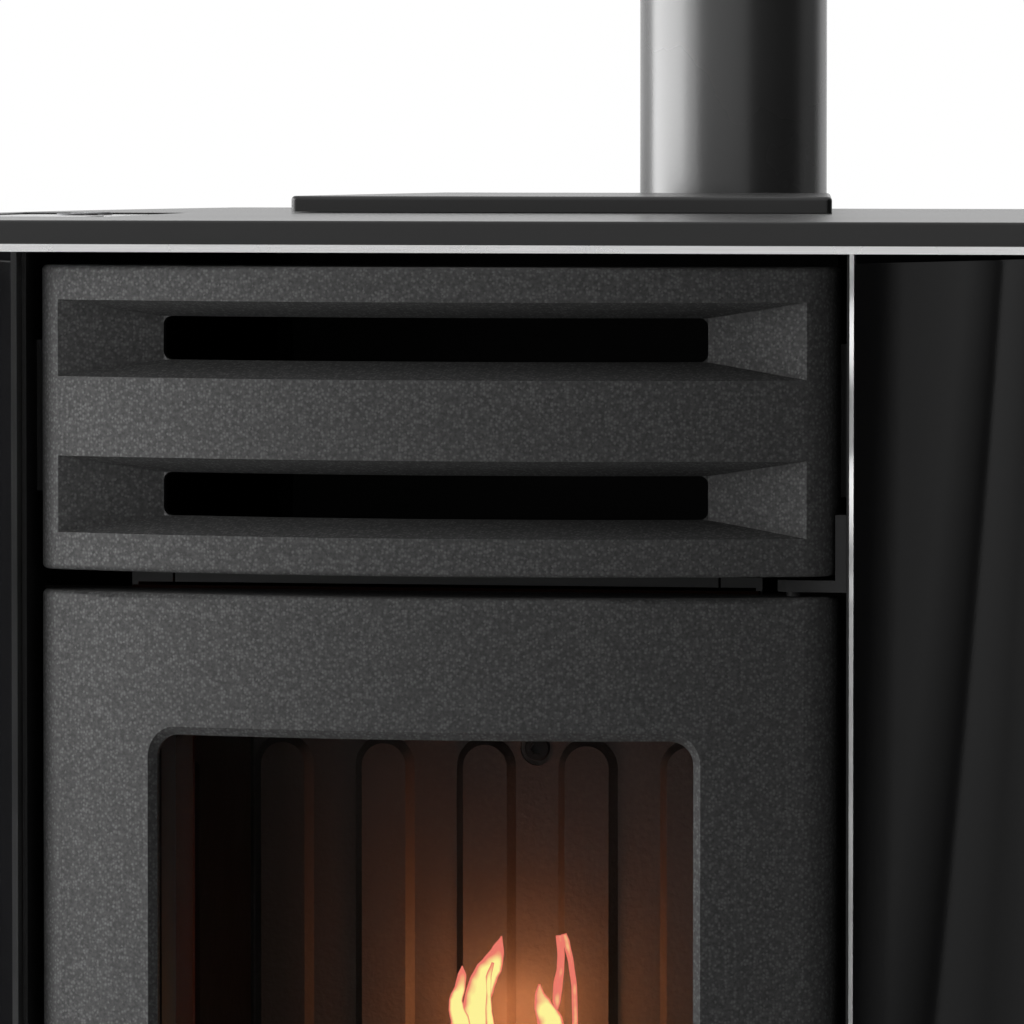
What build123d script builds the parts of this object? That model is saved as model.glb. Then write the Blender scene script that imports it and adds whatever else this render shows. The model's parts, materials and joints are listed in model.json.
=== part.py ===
"""Pellet stove with a convex cast front, bulging side panels, hopper, auger, fans and a flue pipe.

Millimetres. X to the right, Y to the back, Z up, origin on the floor in the middle of the whole outline.
A depth is measured backwards from the foremost point of the convex castings, and y_at() turns it into Y.
"""

from build123d import *
import math
import os

os.makedirs("parts", exist_ok=True)

# ---------------------------------------------------------------- clearances
face_gap = 0.3  # between pieces that only rest against each other
shaft_gap = 0.05  # radial, round a shaft or pin that turns
sleeve_gap = 0.15  # radial, between tubes that plug into each other
sheet = 2.0  # folded sheet steel

# ---------------------------------------------------------------- top
slab_top = 1040.0
slab_thickness = 11.2
trim_thickness = 3.6
trim_lip = 1.0  # the bright plate stands this far proud of the slab
slab_front_setback = 10.0  # of the slab's front from the castings' foremost point
slab_front_half_width = 291.0
slab_side_bow = 1.5  # how far the slab's sides bow out past its front corners
slab_rear_half_width = 222.0
slab_middle_depth = 242.0
slab_rear_depth = 587.0
slab_corner_radius = 9.0
hopper_opening_lap = 16.0  # how far the lid laps over the opening's sides
hopper_opening_setback = 41.0  # from the slab's rear edge
hopper_opening_length = 162.0
hopper_opening_radius = 10.0

# ---------------------------------------------------------------- convex castings
front_radius = 489.0  # plan radius of the castings' faces
casting_half_width = 190.5
edge_radius = 20.0
casting_wall = 8.0
return_depth = 62.0
casting_gap = 9.8  # height of the gap between two castings
grille_gap = 6.7  # under the trim plate
grille_height = 143.6
door_height = 440.0
drawer_front_height = 130.0
plinth_height = 62.0
casting_edge_fillet = 2.5

# ---------------------------------------------------------------- flared slots
slot_wall = 32.0
slot_mouth_half_width = 179.0
slot_throat_half_width = 130.5
slot_mouth_height = 36.2
slot_throat_height = 20.6
slot_flare_depth = 27.0
upper_slot_drop = 34.2  # from the grille's top edge to the middle of its upper slot
slot_pitch = 73.6
slot_corner_radius = 4.0
lower_slot_drop = 52.0
finger_slot_mouth_half_width = 75.0
finger_slot_throat_half_width = 58.0
finger_slot_drop = 46.0
finger_slot_floor = 29.0

# ---------------------------------------------------------------- door
window_half_width = 128.0
window_top_border = 66.4
window_bottom_border = 70.0
window_corner_radius = 11.0
window_bevel = 4.0
glass_thickness = 4.0
glass_lap = 13.0
retainer_lap = 21.0
retainer_depth = 58.0
rope_radius = 3.7
rope_lap = 11.0
hinge_pin_radius = 4.0
hinge_boss_radius = 12.0
hinge_pin_grip = 15.4
hinge_shoulder = 1.7
hinge_tab_thickness = 5.5
hinge_tab_half_depth = 9.0
hinge_tab_reach = 7.5
hinge_leg_height = 36.0
hinge_leg_thickness = 5.2

# ---------------------------------------------------------------- latch
latch_x = -158.0
latch_height = 600.0
spindle_radius = 4.0
latch_boss_radius = 7.5
latch_boss_end = 54.0
latch_hub_radius = 7.0
hook_thickness = 4.0
hook_width = 8.0
hook_length = 15.0
knob_length = 72.0
knob_width = 15.0
knob_reach = 12.0  # in front of the castings' foremost point
knob_thickness = 14.0
keeper_lip = 7.0
keeper_height = 12.0
keeper_sheet = 3.0
keeper_lip_depth = 51.6

# ---------------------------------------------------------------- carcass
frame_x = 196.5  # inner face of the side frames
frame_sheet = 2.2
frame_front = 42.0
body_setback = 15.0  # of the rear panel from the slab's rear edge
frame_bottom = 24.0
frame_tab_reach = 26.0  # tabs folded in behind the fixed castings
base_sheet = 3.0
base_wall_height = 34.0
base_front = 66.0
foot_x = 150.0
foot_front = 96.0
foot_setback = 60.0
foot_radius = 22.0
foot_thickness = 8.0
foot_stud_radius = 5.0
foot_collar_radius = 9.0
strip_width = 2.3
strip_depth = 25.0
strip_front = 32.0
strip_slant = 1.9  # its front face turns inwards by this much
strip_bottom = 30.0
panel_sheet = 3.0
panel_top_gap = 5.2
panel_bulge = 82.0
panel_front = 34.0
panel_lip = 10.0  # of the inner lip that closes the gap under the trim plate
panel_rear_x = 216.0

# ---------------------------------------------------------------- firebox
shell_half_width = 152.0
shell_wall = 3.0
shell_top_plate = 4.7
shell_front = 70.2
shell_back = 303.0
shell_bottom = 408.0
shell_wing_depth = 76.0
shell_joint_x = 131.0
shell_joint_width = 1.2
flange_half_width = 151.0
flange_thickness = 4.0
flange_front = 65.9
flange_opening_half_width = 121.5
flange_bottom_drop = 12.0
flange_border = 8.0
back_plate_thickness = 5.8
pad_height = 4.0
pad_width = 30.2
pad_pitch = 51.6
pad_pairs = 3
pad_top_drop = 260.0  # below the slab's top
pad_flank_angle = 45.0
liner_thickness = 3.5
liner_rib_depth = 159.0
liner_rib_radius = 5.0
baffle_thickness = 4.0
baffle_drop = 22.0
baffle_front = 124.0
hearth_height = 500.0  # underside of the grate support
hearth_thickness = 4.0
hearth_leg_inset = 38.0
back_screw_drop = 265.7
counterbore_radius = 8.5
counterbore_depth = 2.2
back_screw_radius = 6.2
back_screw_socket = 3.2

# ---------------------------------------------------------------- burn pot
pot_depth = 182.0
pot_width = 92.0
pot_length = 82.0
pot_taper = 8.0
pot_wall = 4.0
pot_height = 52.0
pot_rim = 9.0
pot_rim_thickness = 4.0
pot_clearance = 1.0
ash_hole_half_width = 70.0
ash_hole_front = 107.0
ash_hole_back = 247.0
igniter_radius = 6.0
igniter_height = 470.0
igniter_front = 225.0

# ---------------------------------------------------------------- fuel feed
hopper_half_width = 140.0
hopper_setback = 12.0  # from the rear panel
hopper_length = 198.0
hopper_funnel_top = 790.0
hopper_throat_top = 655.0
hopper_throat_half_width = 24.0
hopper_throat_bottom = 540.0
hopper_throat_offset = 58.0  # from the hopper's front
hopper_throat_length = 47.0
hopper_flange = 8.0
auger_tube_radius = 27.0
auger_tube_wall = 2.0
auger_setback = 70.0  # of its lower end from the rear panel
auger_low_height = 500.0
auger_end_in_chute = 16.3
auger_flight_radius = 22.5
auger_shaft_radius = 7.0
auger_flight_start = 12.0
auger_flight_end_gap = 22.0  # from the flight's end to the tube's end
auger_flight = 2.4
auger_turns = 6
auger_motor_length = 52.0
auger_motor_side = 58.0
chute_half_width = 31.0
chute_length = 46.7
chute_bottom = 580.0
chute_headroom = 37.7
mouth_half_width = 22.0
mouth_bottom = 588.0
mouth_top = 632.0

# ---------------------------------------------------------------- hopper lid
lid_half_width = 139.0
lid_taper = 9.5  # degrees, by which each side turns in towards the back
lid_length = 208.0
lid_corner_radius = 3.0
lid_thickness = 8.1
lid_pivot_setback = 29.0  # from the slab's rear edge
lid_pin_radius = 2.0
lid_end_gap = 4.0  # of the lid's round back edge from its rear corners
lid_knuckle_x = 62.0
lid_knuckle_width = 30.0
lid_leaf_thickness = 1.6
lid_leaf_length = 20.0

# ---------------------------------------------------------------- ash drawer
drawer_half_width = 150.0
drawer_clearance = 15.0  # behind the pan
drawer_floor = 296.0
drawer_top = 398.0
drawer_flange_half_width = 176.0
shelf_thickness = 3.7
shelf_overhang = 7.0
guide_height = 14.0

# ---------------------------------------------------------------- exhaust
flue_x = 36.0
flue_distance = 80.0  # from the rear panel's inner side
flue_radius = 50.0
flue_wall = 1.2
flue_top = 1300.0
flue_end_length = 60.0
flue_end_swage = 0.4
flue_bead = 2.0
flue_bead_height = 3.0
tee_height = 229.0
tee_top = 330.0
tee_bottom = 149.0
pipe_bottom = 302.0
cap_depth = 26.0
spigot_radius = 39.7
spigot_wall = 1.5
spigot_reach = 28.0
fan_setback = 120.0
fan_height = 270.0
drum_radius = 80.0
drum_width = 50.0
impeller_radius = 62.0
impeller_width = 34.0
impeller_hub_radius = 11.0
impeller_shaft_radius = 4.0
impeller_blades = 14
eye_radius = 34.0
exhaust_motor_radius = 40.0
exhaust_motor_length = 72.0
duct_width = 57.0
duct_half_depth = 35.0
duct_bottom = 235.0
duct_low = 440.0
duct_top = 498.0

# ---------------------------------------------------------------- air, room fan and electrics
intake_x = -100.0
intake_height = 436.0
intake_radius = 25.0
intake_wall = 1.5
intake_reach = 42.0
intake_end_length = 30.0
intake_end_swage = 0.4
room_fan_setback = 120.0
room_fan_height = 115.0
room_fan_radius = 30.0
room_fan_half_width = 115.0
room_fan_shaft_radius = 3.0
room_fan_blades = 24
room_housing_half_width = 122.0
room_housing_half_depth = 48.0
room_housing_half_height = 48.0
room_motor_radius = 32.0
room_motor_length = 52.0
louvre_count = 6
louvre_height = 5.0
louvre_pitch = 12.0
louvre_width = 50.0
louvre_columns = 3
louvre_spacing = 64.0
inlet_x = -150.0
inlet_height = 120.0
inlet_width = 48.0
inlet_tall = 27.0
switch_x = -109.0
rocker_width = 13.0
rocker_tall = 21.0
rocker_tilt = 6.0
rocker_axle_radius = 1.5
rocker_axle_reach = 1.7
screw_head_radius = 4.0
screw_head = 2.4
case_screw_inset = 12.0
case_screw_end_gap = 25.0
case_screw_rows = 5

# ---------------------------------------------------------------- control panel
panel_plate_inset = 63.0  # from the slab's side to the plate's middle
panel_plate_depth = 240.0
panel_plate_width = 84.0
panel_plate_length = 176.0
panel_plate_thickness = 1.4
panel_recess = 2.2
button_radius = 7.0
button_gap = 0.3
button_pitch = 28.0
button_count = 3
button_travel = 1.2
button_proud = 1.2
button_height = 4.6
display_width = 56.0
display_length = 44.0
display_thickness = 0.6

# ---------------------------------------------------------------- places that follow from these
slab_middle_half_width = slab_front_half_width + slab_side_bow
hopper_opening_back = slab_rear_depth - hopper_opening_setback
hopper_opening_front = hopper_opening_back - hopper_opening_length
lid_pivot_depth = slab_rear_depth - lid_pivot_setback
lid_front = lid_pivot_depth - lid_length
lid_slope = math.tan(math.radians(lid_taper))
lid_rear_half_width = lid_half_width - lid_length * lid_slope
hopper_opening_half_width = lid_half_width - (hopper_opening_front - lid_front) * lid_slope - hopper_opening_lap
hopper_opening_rear_half_width = hopper_opening_half_width - hopper_opening_length * lid_slope
lid_leaf_back = lid_pivot_depth + lid_leaf_length
panel_plate_x = panel_plate_inset - slab_front_half_width
body_depth = slab_rear_depth - body_setback
foot_back = body_depth - foot_setback
flue_depth = body_depth + flue_distance
spigot_end = body_depth + spigot_reach
fan_depth = body_depth - fan_setback
room_fan_depth = body_depth - room_fan_setback
duct_front = fan_depth - duct_half_depth
duct_back = fan_depth + duct_half_depth
intake_end = body_depth + intake_reach
drawer_back = fan_depth - drum_radius - drawer_clearance
shelf_back = drawer_back + shelf_overhang
hopper_back = body_depth - hopper_setback
hopper_front = hopper_back - hopper_length
hopper_throat_front = hopper_front + hopper_throat_offset
hopper_throat_back = hopper_throat_front + hopper_throat_length
chute_back = shell_back + chute_length + face_gap
auger_low_depth = body_depth - auger_setback
auger_top_depth = chute_back - auger_end_in_chute
auger_length = (auger_low_depth - auger_top_depth) * math.sqrt(2)
auger_top_height = auger_low_height + auger_low_depth - auger_top_depth
auger_pitch = (auger_length - auger_flight_start - auger_flight_end_gap) / auger_turns
chute_top = auger_top_height + chute_headroom
tee_inner_radius = flue_radius + sleeve_gap
tee_outer_radius = tee_inner_radius + flue_wall
cap_outer_radius = tee_outer_radius + sleeve_gap + flue_wall
depth_centre = (flue_depth + cap_outer_radius - knob_reach) / 2
trim_top = slab_top - slab_thickness
trim_bottom = trim_top - trim_thickness
frame_top = trim_bottom - face_gap
grille_top = trim_bottom - grille_gap
grille_bottom = grille_top - grille_height
door_top = grille_bottom - casting_gap
door_bottom = door_top - door_height
drawer_front_top = door_bottom - casting_gap
drawer_front_bottom = drawer_front_top - drawer_front_height
lower_front_top = drawer_front_bottom - casting_gap
window_top = door_top - window_top_border
window_bottom = door_bottom + window_bottom_border
shell_top = door_top + 7.3
frame_outer_x = frame_x + frame_sheet
strip_x = frame_outer_x + face_gap
panel_front_x = strip_x + strip_width + face_gap
hinge_x = casting_half_width - edge_radius
hinge_depth = front_radius - math.sqrt((front_radius - edge_radius) ** 2 - hinge_x**2)
back_plate_back = shell_back - shell_wall - face_gap
back_plate_front = back_plate_back - back_plate_thickness
liner_outer_x = shell_half_width - shell_wall - face_gap
liner_inner_x = liner_outer_x - liner_thickness
hearth_top = hearth_height + hearth_thickness
baffle_top = shell_top - shell_top_plate - baffle_drop
baffle_bottom = baffle_top - baffle_thickness
lid_bottom = slab_top + face_gap
lid_pivot_height = lid_bottom + lid_thickness / 2
lid_top = lid_bottom + lid_thickness


def y_at(depth):
    """Y of a depth behind the foremost point of the castings."""
    return depth - depth_centre


def face_depth(x, inset=0.0):
    """Depth of the castings' curved face, or of a surface that lies inset behind it, at x."""
    return front_radius - math.sqrt((front_radius - inset) ** 2 - x**2)


def block(x_range, depth_range, z_range, mode=Mode.ADD):
    """A box between two values of x, depth and z, added to the piece being built."""
    low = (min(x_range), y_at(min(depth_range)), min(z_range))
    high = (max(x_range), y_at(max(depth_range)), max(z_range))
    size = [b - a for a, b in zip(low, high)]
    with Locations(tuple((a + b) / 2 for a, b in zip(low, high))):
        Box(*size, mode=mode)


def rod_along_x(radius, x_range, depth, z, mode=Mode.ADD):
    """A round bar along X."""
    low, high = min(x_range), max(x_range)
    with Locations(((low + high) / 2, y_at(depth), z)):
        Cylinder(radius, high - low, rotation=(0, 90, 0), mode=mode)


def rod_along_y(radius, x, depth_range, z, mode=Mode.ADD):
    """A round bar from front to back."""
    low, high = y_at(min(depth_range)), y_at(max(depth_range))
    with Locations((x, (low + high) / 2, z)):
        Cylinder(radius, high - low, rotation=(90, 0, 0), mode=mode)


def rod_along_z(radius, x, depth, z_range, mode=Mode.ADD):
    """A round bar standing up."""
    low, high = min(z_range), max(z_range)
    with Locations((x, y_at(depth), (low + high) / 2)):
        Cylinder(radius, high - low, mode=mode)


def curved_solid(half_width, inset, back_depth, low, high, corner=0.0):
    """A solid whose front follows the castings' curve, inset behind it, and whose back is flat."""
    edge = y_at(face_depth(half_width, inset))
    with BuildPart() as solid:
        with BuildSketch(Plane.XY.offset(low)) as plan:
            with BuildLine():
                face = ThreePointArc((-half_width, edge), (0, y_at(inset)), (half_width, edge))
                Polyline(face @ 1, (half_width, y_at(back_depth)), (-half_width, y_at(back_depth)), face @ 0)
            make_face()
            if corner > 0:
                front_corners = plan.vertices().sort_by(Axis.Y)[:2]
                fillet(front_corners, corner)
        extrude(amount=high - low)
    return solid.part


def casting_blank(low, high, wall):
    """A convex casting: curved face, rounded upright edges, side returns and an open back."""
    hollow = curved_solid(
        casting_half_width - wall,
        wall,
        2 * return_depth,
        low + casting_wall,
        high - casting_wall,
        max(edge_radius - wall, 1.0),
    )
    with BuildPart() as blank:
        add(curved_solid(casting_half_width, 0, return_depth, low, high, edge_radius))
        rim = blank.edges().group_by(Axis.Z)[0] + blank.edges().group_by(Axis.Z)[-1]
        front_rim = [edge for edge in rim if edge.center().Y < y_at(return_depth) - 1]
        fillet(front_rim, casting_edge_fillet)
        add(hollow, mode=Mode.SUBTRACT)
    return blank.part


def flared_slot(middle, mouth_half_width, throat_half_width, end_depth):
    """The space of a slot: a flare that narrows from the curved face, then a straight throat."""
    mouth = slot_mouth_height / 2
    throat = slot_throat_height / 2
    overshoot = 20.0
    mouth_outside = mouth + overshoot * (mouth - throat) / slot_flare_depth
    outside_radius = front_radius + overshoot
    throat_radius = front_radius - slot_flare_depth
    throat_edge = y_at(face_depth(throat_half_width, slot_flare_depth))
    mouth_edge = y_at(face_depth(mouth_half_width))
    radial = Plane(origin=(0, y_at(front_radius), middle), x_dir=(0, -1, 0), z_dir=(-1, 0, 0))
    front = Plane((0, y_at(0), middle), x_dir=(1, 0, 0), z_dir=(0, -1, 0))
    with BuildPart() as space:
        with BuildSketch(radial):
            with BuildLine():
                Polyline(
                    (outside_radius, mouth_outside),
                    (throat_radius, throat),
                    (throat_radius, -throat),
                    (outside_radius, -mouth_outside),
                    close=True,
                )
            make_face()
        revolve(axis=Axis((0, y_at(front_radius), 0), (0, 0, 1)), revolution_arc=360)
        with BuildSketch(Plane.XY.offset(middle - mouth_outside)):
            with BuildLine():
                Polyline(
                    (throat_half_width, y_at(front_radius / 2)),
                    (throat_half_width, throat_edge),
                    (mouth_half_width, mouth_edge),
                    (mouth_half_width, y_at(-overshoot)),
                    (-mouth_half_width, y_at(-overshoot)),
                    (-mouth_half_width, mouth_edge),
                    (-throat_half_width, throat_edge),
                    (-throat_half_width, y_at(front_radius / 2)),
                    close=True,
                )
            make_face()
        extrude(amount=2 * mouth_outside, mode=Mode.INTERSECT)
        with BuildSketch(front):
            RectangleRounded(2 * throat_half_width, slot_throat_height, slot_corner_radius)
        extrude(amount=-end_depth)
    return space.part


def top_outline(grow):
    """Points of the slab's plan: straight front and back, sides bowed outwards."""
    front = y_at(slab_front_setback - grow)
    middle = y_at(slab_middle_depth)
    back = y_at(slab_rear_depth + grow)
    with BuildSketch(mode=Mode.PRIVATE) as plan:
        with BuildLine():
            Line((-slab_front_half_width - grow, front), (slab_front_half_width + grow, front))
            ThreePointArc(
                (slab_front_half_width + grow, front),
                (slab_middle_half_width + grow, middle),
                (slab_rear_half_width + grow, back),
            )
            Line((slab_rear_half_width + grow, back), (-slab_rear_half_width - grow, back))
            ThreePointArc(
                (-slab_rear_half_width - grow, back),
                (-slab_middle_half_width - grow, middle),
                (-slab_front_half_width - grow, front),
            )
        make_face()
        fillet(plan.vertices(), slab_corner_radius)
    return plan.sketch


def tapered_outline(front_half_width, rear_half_width, front_depth, rear_depth, corner=0.0):
    """A trapezium in plan that narrows towards the back, as the slab does."""
    with BuildSketch(mode=Mode.PRIVATE) as plan:
        with BuildLine():
            Polyline(
                (-front_half_width, y_at(front_depth)),
                (front_half_width, y_at(front_depth)),
                (rear_half_width, y_at(rear_depth)),
                (-rear_half_width, y_at(rear_depth)),
                close=True,
            )
        make_face()
        if corner > 0:
            fillet(plan.vertices(), corner)
    return plan.sketch


hopper_hole = tapered_outline(
    hopper_opening_half_width,
    hopper_opening_rear_half_width,
    hopper_opening_front,
    hopper_opening_back,
    hopper_opening_radius,
)

# ================================================================ carcass

with BuildPart() as base_plate:
    wall_x = frame_x - face_gap
    block((-wall_x, wall_x), (base_front, body_depth), (frame_bottom, frame_bottom + base_wall_height))
    block(
        (-wall_x + sheet, wall_x - sheet),
        (base_front + sheet, body_depth - sheet),
        (frame_bottom + base_sheet, frame_bottom + base_wall_height + 1),
        Mode.SUBTRACT,
    )
    with Locations(*[(x, y_at(d), frame_bottom) for x in (-foot_x, foot_x) for d in (foot_front, foot_back)]):
        Cylinder(foot_stud_radius + face_gap, 4 * base_sheet, mode=Mode.SUBTRACT)
base_plate.part.label = "base_plate"
export_step(base_plate.part, "parts/base_plate.step")

with BuildPart() as levelling_feet:
    for x in (-foot_x, foot_x):
        for depth in (foot_front, foot_back):
            rod_along_z(foot_radius, x, depth, (0, foot_thickness))
            rod_along_z(foot_collar_radius, x, depth, (foot_thickness, frame_bottom - face_gap))
            rod_along_z(foot_stud_radius, x, depth, (foot_thickness, frame_bottom + 20))
    foot_rims = levelling_feet.edges().filter_by(GeomType.CIRCLE)
    fillet([rim for rim in foot_rims if abs(rim.radius - foot_radius) < 0.01 and rim.center().Z > 1], 2)
levelling_feet.part.label = "levelling_feet"
export_step(levelling_feet.part, "parts/levelling_feet.step")


def side_frame(side):
    """Flat sheet side of the carcass, with tabs folded in behind the two fixed castings."""
    tab_depth = return_depth + face_gap
    with BuildPart() as frame:
        block((side * frame_x, side * frame_outer_x), (frame_front, body_depth), (frame_bottom, frame_top))
        for low, high in ((plinth_height, lower_front_top), (grille_bottom, grille_top)):
            block((side * (frame_x - frame_tab_reach), side * frame_x), (tab_depth, tab_depth + frame_sheet),
                  (low + hinge_leg_height, high - hinge_leg_height))
    return frame.part


left_side_frame = side_frame(-1)
left_side_frame.label = "left_side_frame"
export_step(left_side_frame, "parts/left_side_frame.step")
right_side_frame = side_frame(1)
right_side_frame.label = "right_side_frame"
export_step(right_side_frame, "parts/right_side_frame.step")

with BuildPart() as rear_panel:
    rear_front = body_depth + face_gap
    rear_back = rear_front + sheet
    rear_half_width = panel_rear_x
    through = (rear_front - 1, rear_back + 1)
    block((-rear_half_width, rear_half_width), (rear_front, rear_back), (frame_bottom, frame_top))
    rod_along_y(spigot_radius + 4, flue_x, through, tee_height, Mode.SUBTRACT)
    rod_along_y(intake_radius + face_gap, intake_x, through, intake_height, Mode.SUBTRACT)
    for row in range(louvre_count):
        z = room_fan_height + (row - (louvre_count - 1) / 2) * louvre_pitch
        with BuildSketch(Plane((0, y_at(rear_front + 1), z), x_dir=(1, 0, 0), z_dir=(0, -1, 0))):
            with GridLocations(louvre_spacing, 1, louvre_columns, 1):
                SlotOverall(louvre_width, louvre_height)
        extrude(amount=4, both=True, mode=Mode.SUBTRACT)
    block((inlet_x - inlet_width / 2, inlet_x + inlet_width / 2), through,
          (inlet_height - inlet_tall / 2, inlet_height + inlet_tall / 2), Mode.SUBTRACT)
    switch_half = (rocker_width / 2 + 3, rocker_tall / 2 + 3)
    block((switch_x - switch_half[0], switch_x + switch_half[0]), through,
          (inlet_height - switch_half[1], inlet_height + switch_half[1]), Mode.SUBTRACT)
rear_panel.part.label = "rear_panel"
export_step(rear_panel.part, "parts/rear_panel.step")


def bowed_band(side, outer_inset, inner_inset):
    """Plan of a bowed side between two insets from its outer face, from the edge strip to the rear panel."""
    reach = panel_front_x + panel_bulge
    middle_depth = (panel_front + body_depth) / 2
    with BuildSketch(mode=Mode.PRIVATE) as plan:
        with BuildLine():
            outer = ThreePointArc(
                (side * panel_front_x, y_at(panel_front + 1.6 * outer_inset)),
                (side * (reach - outer_inset), y_at(middle_depth)),
                (side * (panel_rear_x - outer_inset), y_at(body_depth)),
            )
            Line(outer @ 1, (side * (panel_rear_x - inner_inset), y_at(body_depth)))
            inner = ThreePointArc(
                (side * (panel_rear_x - inner_inset), y_at(body_depth)),
                (side * (reach - inner_inset), y_at(middle_depth)),
                (side * panel_front_x, y_at(panel_front + 1.6 * inner_inset)),
            )
            Line(inner @ 1, outer @ 0)
        make_face()
    return plan.sketch


def side_panel(side):
    """Bowed outer panel with an inner lip that stands up behind the gap under the trim plate."""
    panel_top = trim_bottom - panel_top_gap
    with BuildPart() as panel:
        with BuildSketch(Plane.XY.offset(strip_bottom)):
            add(bowed_band(side, 0, panel_sheet))
        extrude(amount=panel_top - strip_bottom)
        with BuildSketch(Plane.XY.offset(panel_top - panel_lip)):
            add(bowed_band(side, panel_sheet / 2, 1.5 * panel_sheet))
        extrude(amount=panel_lip + panel_top_gap - face_gap)
    return panel.part


left_side_panel = side_panel(-1)
left_side_panel.label = "left_side_panel"
export_step(left_side_panel, "parts/left_side_panel.step")
right_side_panel = side_panel(1)
right_side_panel.label = "right_side_panel"
export_step(right_side_panel, "parts/right_side_panel.step")


def edge_strip(side):
    """Bright strip along the front edge of a side panel, its front face slanting inwards."""
    outer_x = strip_x + strip_width
    strip_back = strip_front + strip_depth
    with BuildPart() as strip:
        with BuildSketch(Plane.XY.offset(strip_bottom)):
            with BuildLine():
                Polyline(
                    (side * strip_x, y_at(strip_front + strip_slant)),
                    (side * outer_x, y_at(strip_front)),
                    (side * outer_x, y_at(strip_back)),
                    (side * strip_x, y_at(strip_back)),
                    close=True,
                )
            make_face()
        extrude(amount=trim_bottom - face_gap - strip_bottom)
    return strip.part


left_edge_strip = edge_strip(-1)
left_edge_strip.label = "left_edge_strip"
export_step(left_edge_strip, "parts/left_edge_strip.step")
right_edge_strip = edge_strip(1)
right_edge_strip.label = "right_edge_strip"
export_step(right_edge_strip, "parts/right_edge_strip.step")

# ================================================================ top

with BuildPart() as trim_plate:
    with BuildSketch(Plane.XY.offset(trim_bottom)):
        add(top_outline(trim_lip))
        add(hopper_hole, mode=Mode.SUBTRACT)
    extrude(amount=trim_thickness)
trim_plate.part.label = "trim_plate"
export_step(trim_plate.part, "parts/trim_plate.step")

button_first_depth = panel_plate_depth + panel_plate_length / 2 - 20
button_row = [(panel_plate_x, y_at(button_first_depth - n * button_pitch)) for n in range(button_count)]
button_bottom = slab_top - panel_recess + panel_plate_thickness + button_proud - button_height
recess_floor = slab_top - panel_recess
display_centre = (panel_plate_x, y_at(panel_plate_depth - panel_plate_length / 2 + 14 + display_length / 2))

with BuildPart() as top_slab:
    with BuildSketch(Plane.XY.offset(trim_top)):
        add(top_outline(0))
        add(hopper_hole, mode=Mode.SUBTRACT)
    extrude(amount=slab_thickness)
    outer_rim = [
        edge
        for edge in top_slab.edges().group_by(Axis.Z)[-1]
        if edge.center().Y < y_at(hopper_opening_front - 9)
        or edge.center().Y > y_at(hopper_opening_back + 9)
        or abs(edge.center().X) > hopper_opening_half_width + 9
    ]
    fillet(outer_rim, 1.2)
    with BuildSketch(Plane.XY.offset(recess_floor)):
        with Locations((panel_plate_x, y_at(panel_plate_depth))):
            RectangleRounded(panel_plate_width + 2 * face_gap, panel_plate_length + 2 * face_gap, 6)
    extrude(amount=panel_recess + 1, mode=Mode.SUBTRACT)
    with BuildSketch(Plane.XY.offset(button_bottom - button_travel - face_gap)):
        with Locations(*button_row):
            Circle(button_radius + button_gap + 0.2)
    extrude(until=Until.LAST, mode=Mode.SUBTRACT)
top_slab.part.label = "top_slab"
export_step(top_slab.part, "parts/top_slab.step")

with BuildPart() as control_panel:
    with BuildSketch(Plane.XY.offset(recess_floor + 0.05)):
        with Locations((panel_plate_x, y_at(panel_plate_depth))):
            RectangleRounded(panel_plate_width, panel_plate_length, 6)
        with Locations(*button_row):
            Circle(button_radius + button_gap, mode=Mode.SUBTRACT)
    extrude(amount=panel_plate_thickness)
    with BuildSketch(Plane.XY.offset(recess_floor + 0.05 + panel_plate_thickness)):
        with Locations(display_centre):
            RectangleRounded(display_width, display_length, 3)
    extrude(amount=display_thickness)
control_panel.part.label = "control_panel"
export_step(control_panel.part, "parts/control_panel.step")

for number, (x, y) in enumerate(button_row, start=1):
    with BuildPart() as button:
        with BuildSketch(Plane.XY.offset(button_bottom)):
            with Locations((x, y)):
                Circle(button_radius)
        extrude(amount=button_height)
        fillet(button.edges().group_by(Axis.Z)[-1], 0.5)
    button.part.label = f"button_{number}"
    export_step(button.part, f"parts/button_{number}.step")

knuckle_starts = (-lid_knuckle_x, lid_knuckle_x)

with BuildPart() as hopper_lid:
    with BuildSketch(Plane.XY.offset(lid_bottom)):
        add(tapered_outline(lid_half_width, lid_rear_half_width, lid_front, lid_pivot_depth))
    extrude(amount=lid_thickness)
    fillet(hopper_lid.edges().filter_by(Axis.Z).sort_by(Axis.Y)[:2], lid_corner_radius)
    top_edges = hopper_lid.edges().group_by(Axis.Z)[-1]
    fillet([edge for edge in top_edges if edge.center().Y < y_at(lid_pivot_depth - 1)], 2)
    knuckle_end = lid_rear_half_width - lid_end_gap
    rod_along_x(lid_thickness / 2, (-knuckle_end, knuckle_end), lid_pivot_depth, lid_pivot_height)
    for x in knuckle_starts:
        half = lid_knuckle_width / 2 + face_gap
        block((x - half, x + half), (lid_pivot_depth - lid_thickness / 2 - 1, lid_pivot_depth + 9),
              (lid_bottom - 1, lid_top + 1), Mode.SUBTRACT)
    rod_along_x(lid_pin_radius + shaft_gap, (-lid_half_width, lid_half_width), lid_pivot_depth,
                lid_pivot_height, Mode.SUBTRACT)
hopper_lid.part.label = "hopper_lid"
export_step(hopper_lid.part, "parts/hopper_lid.step")

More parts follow.
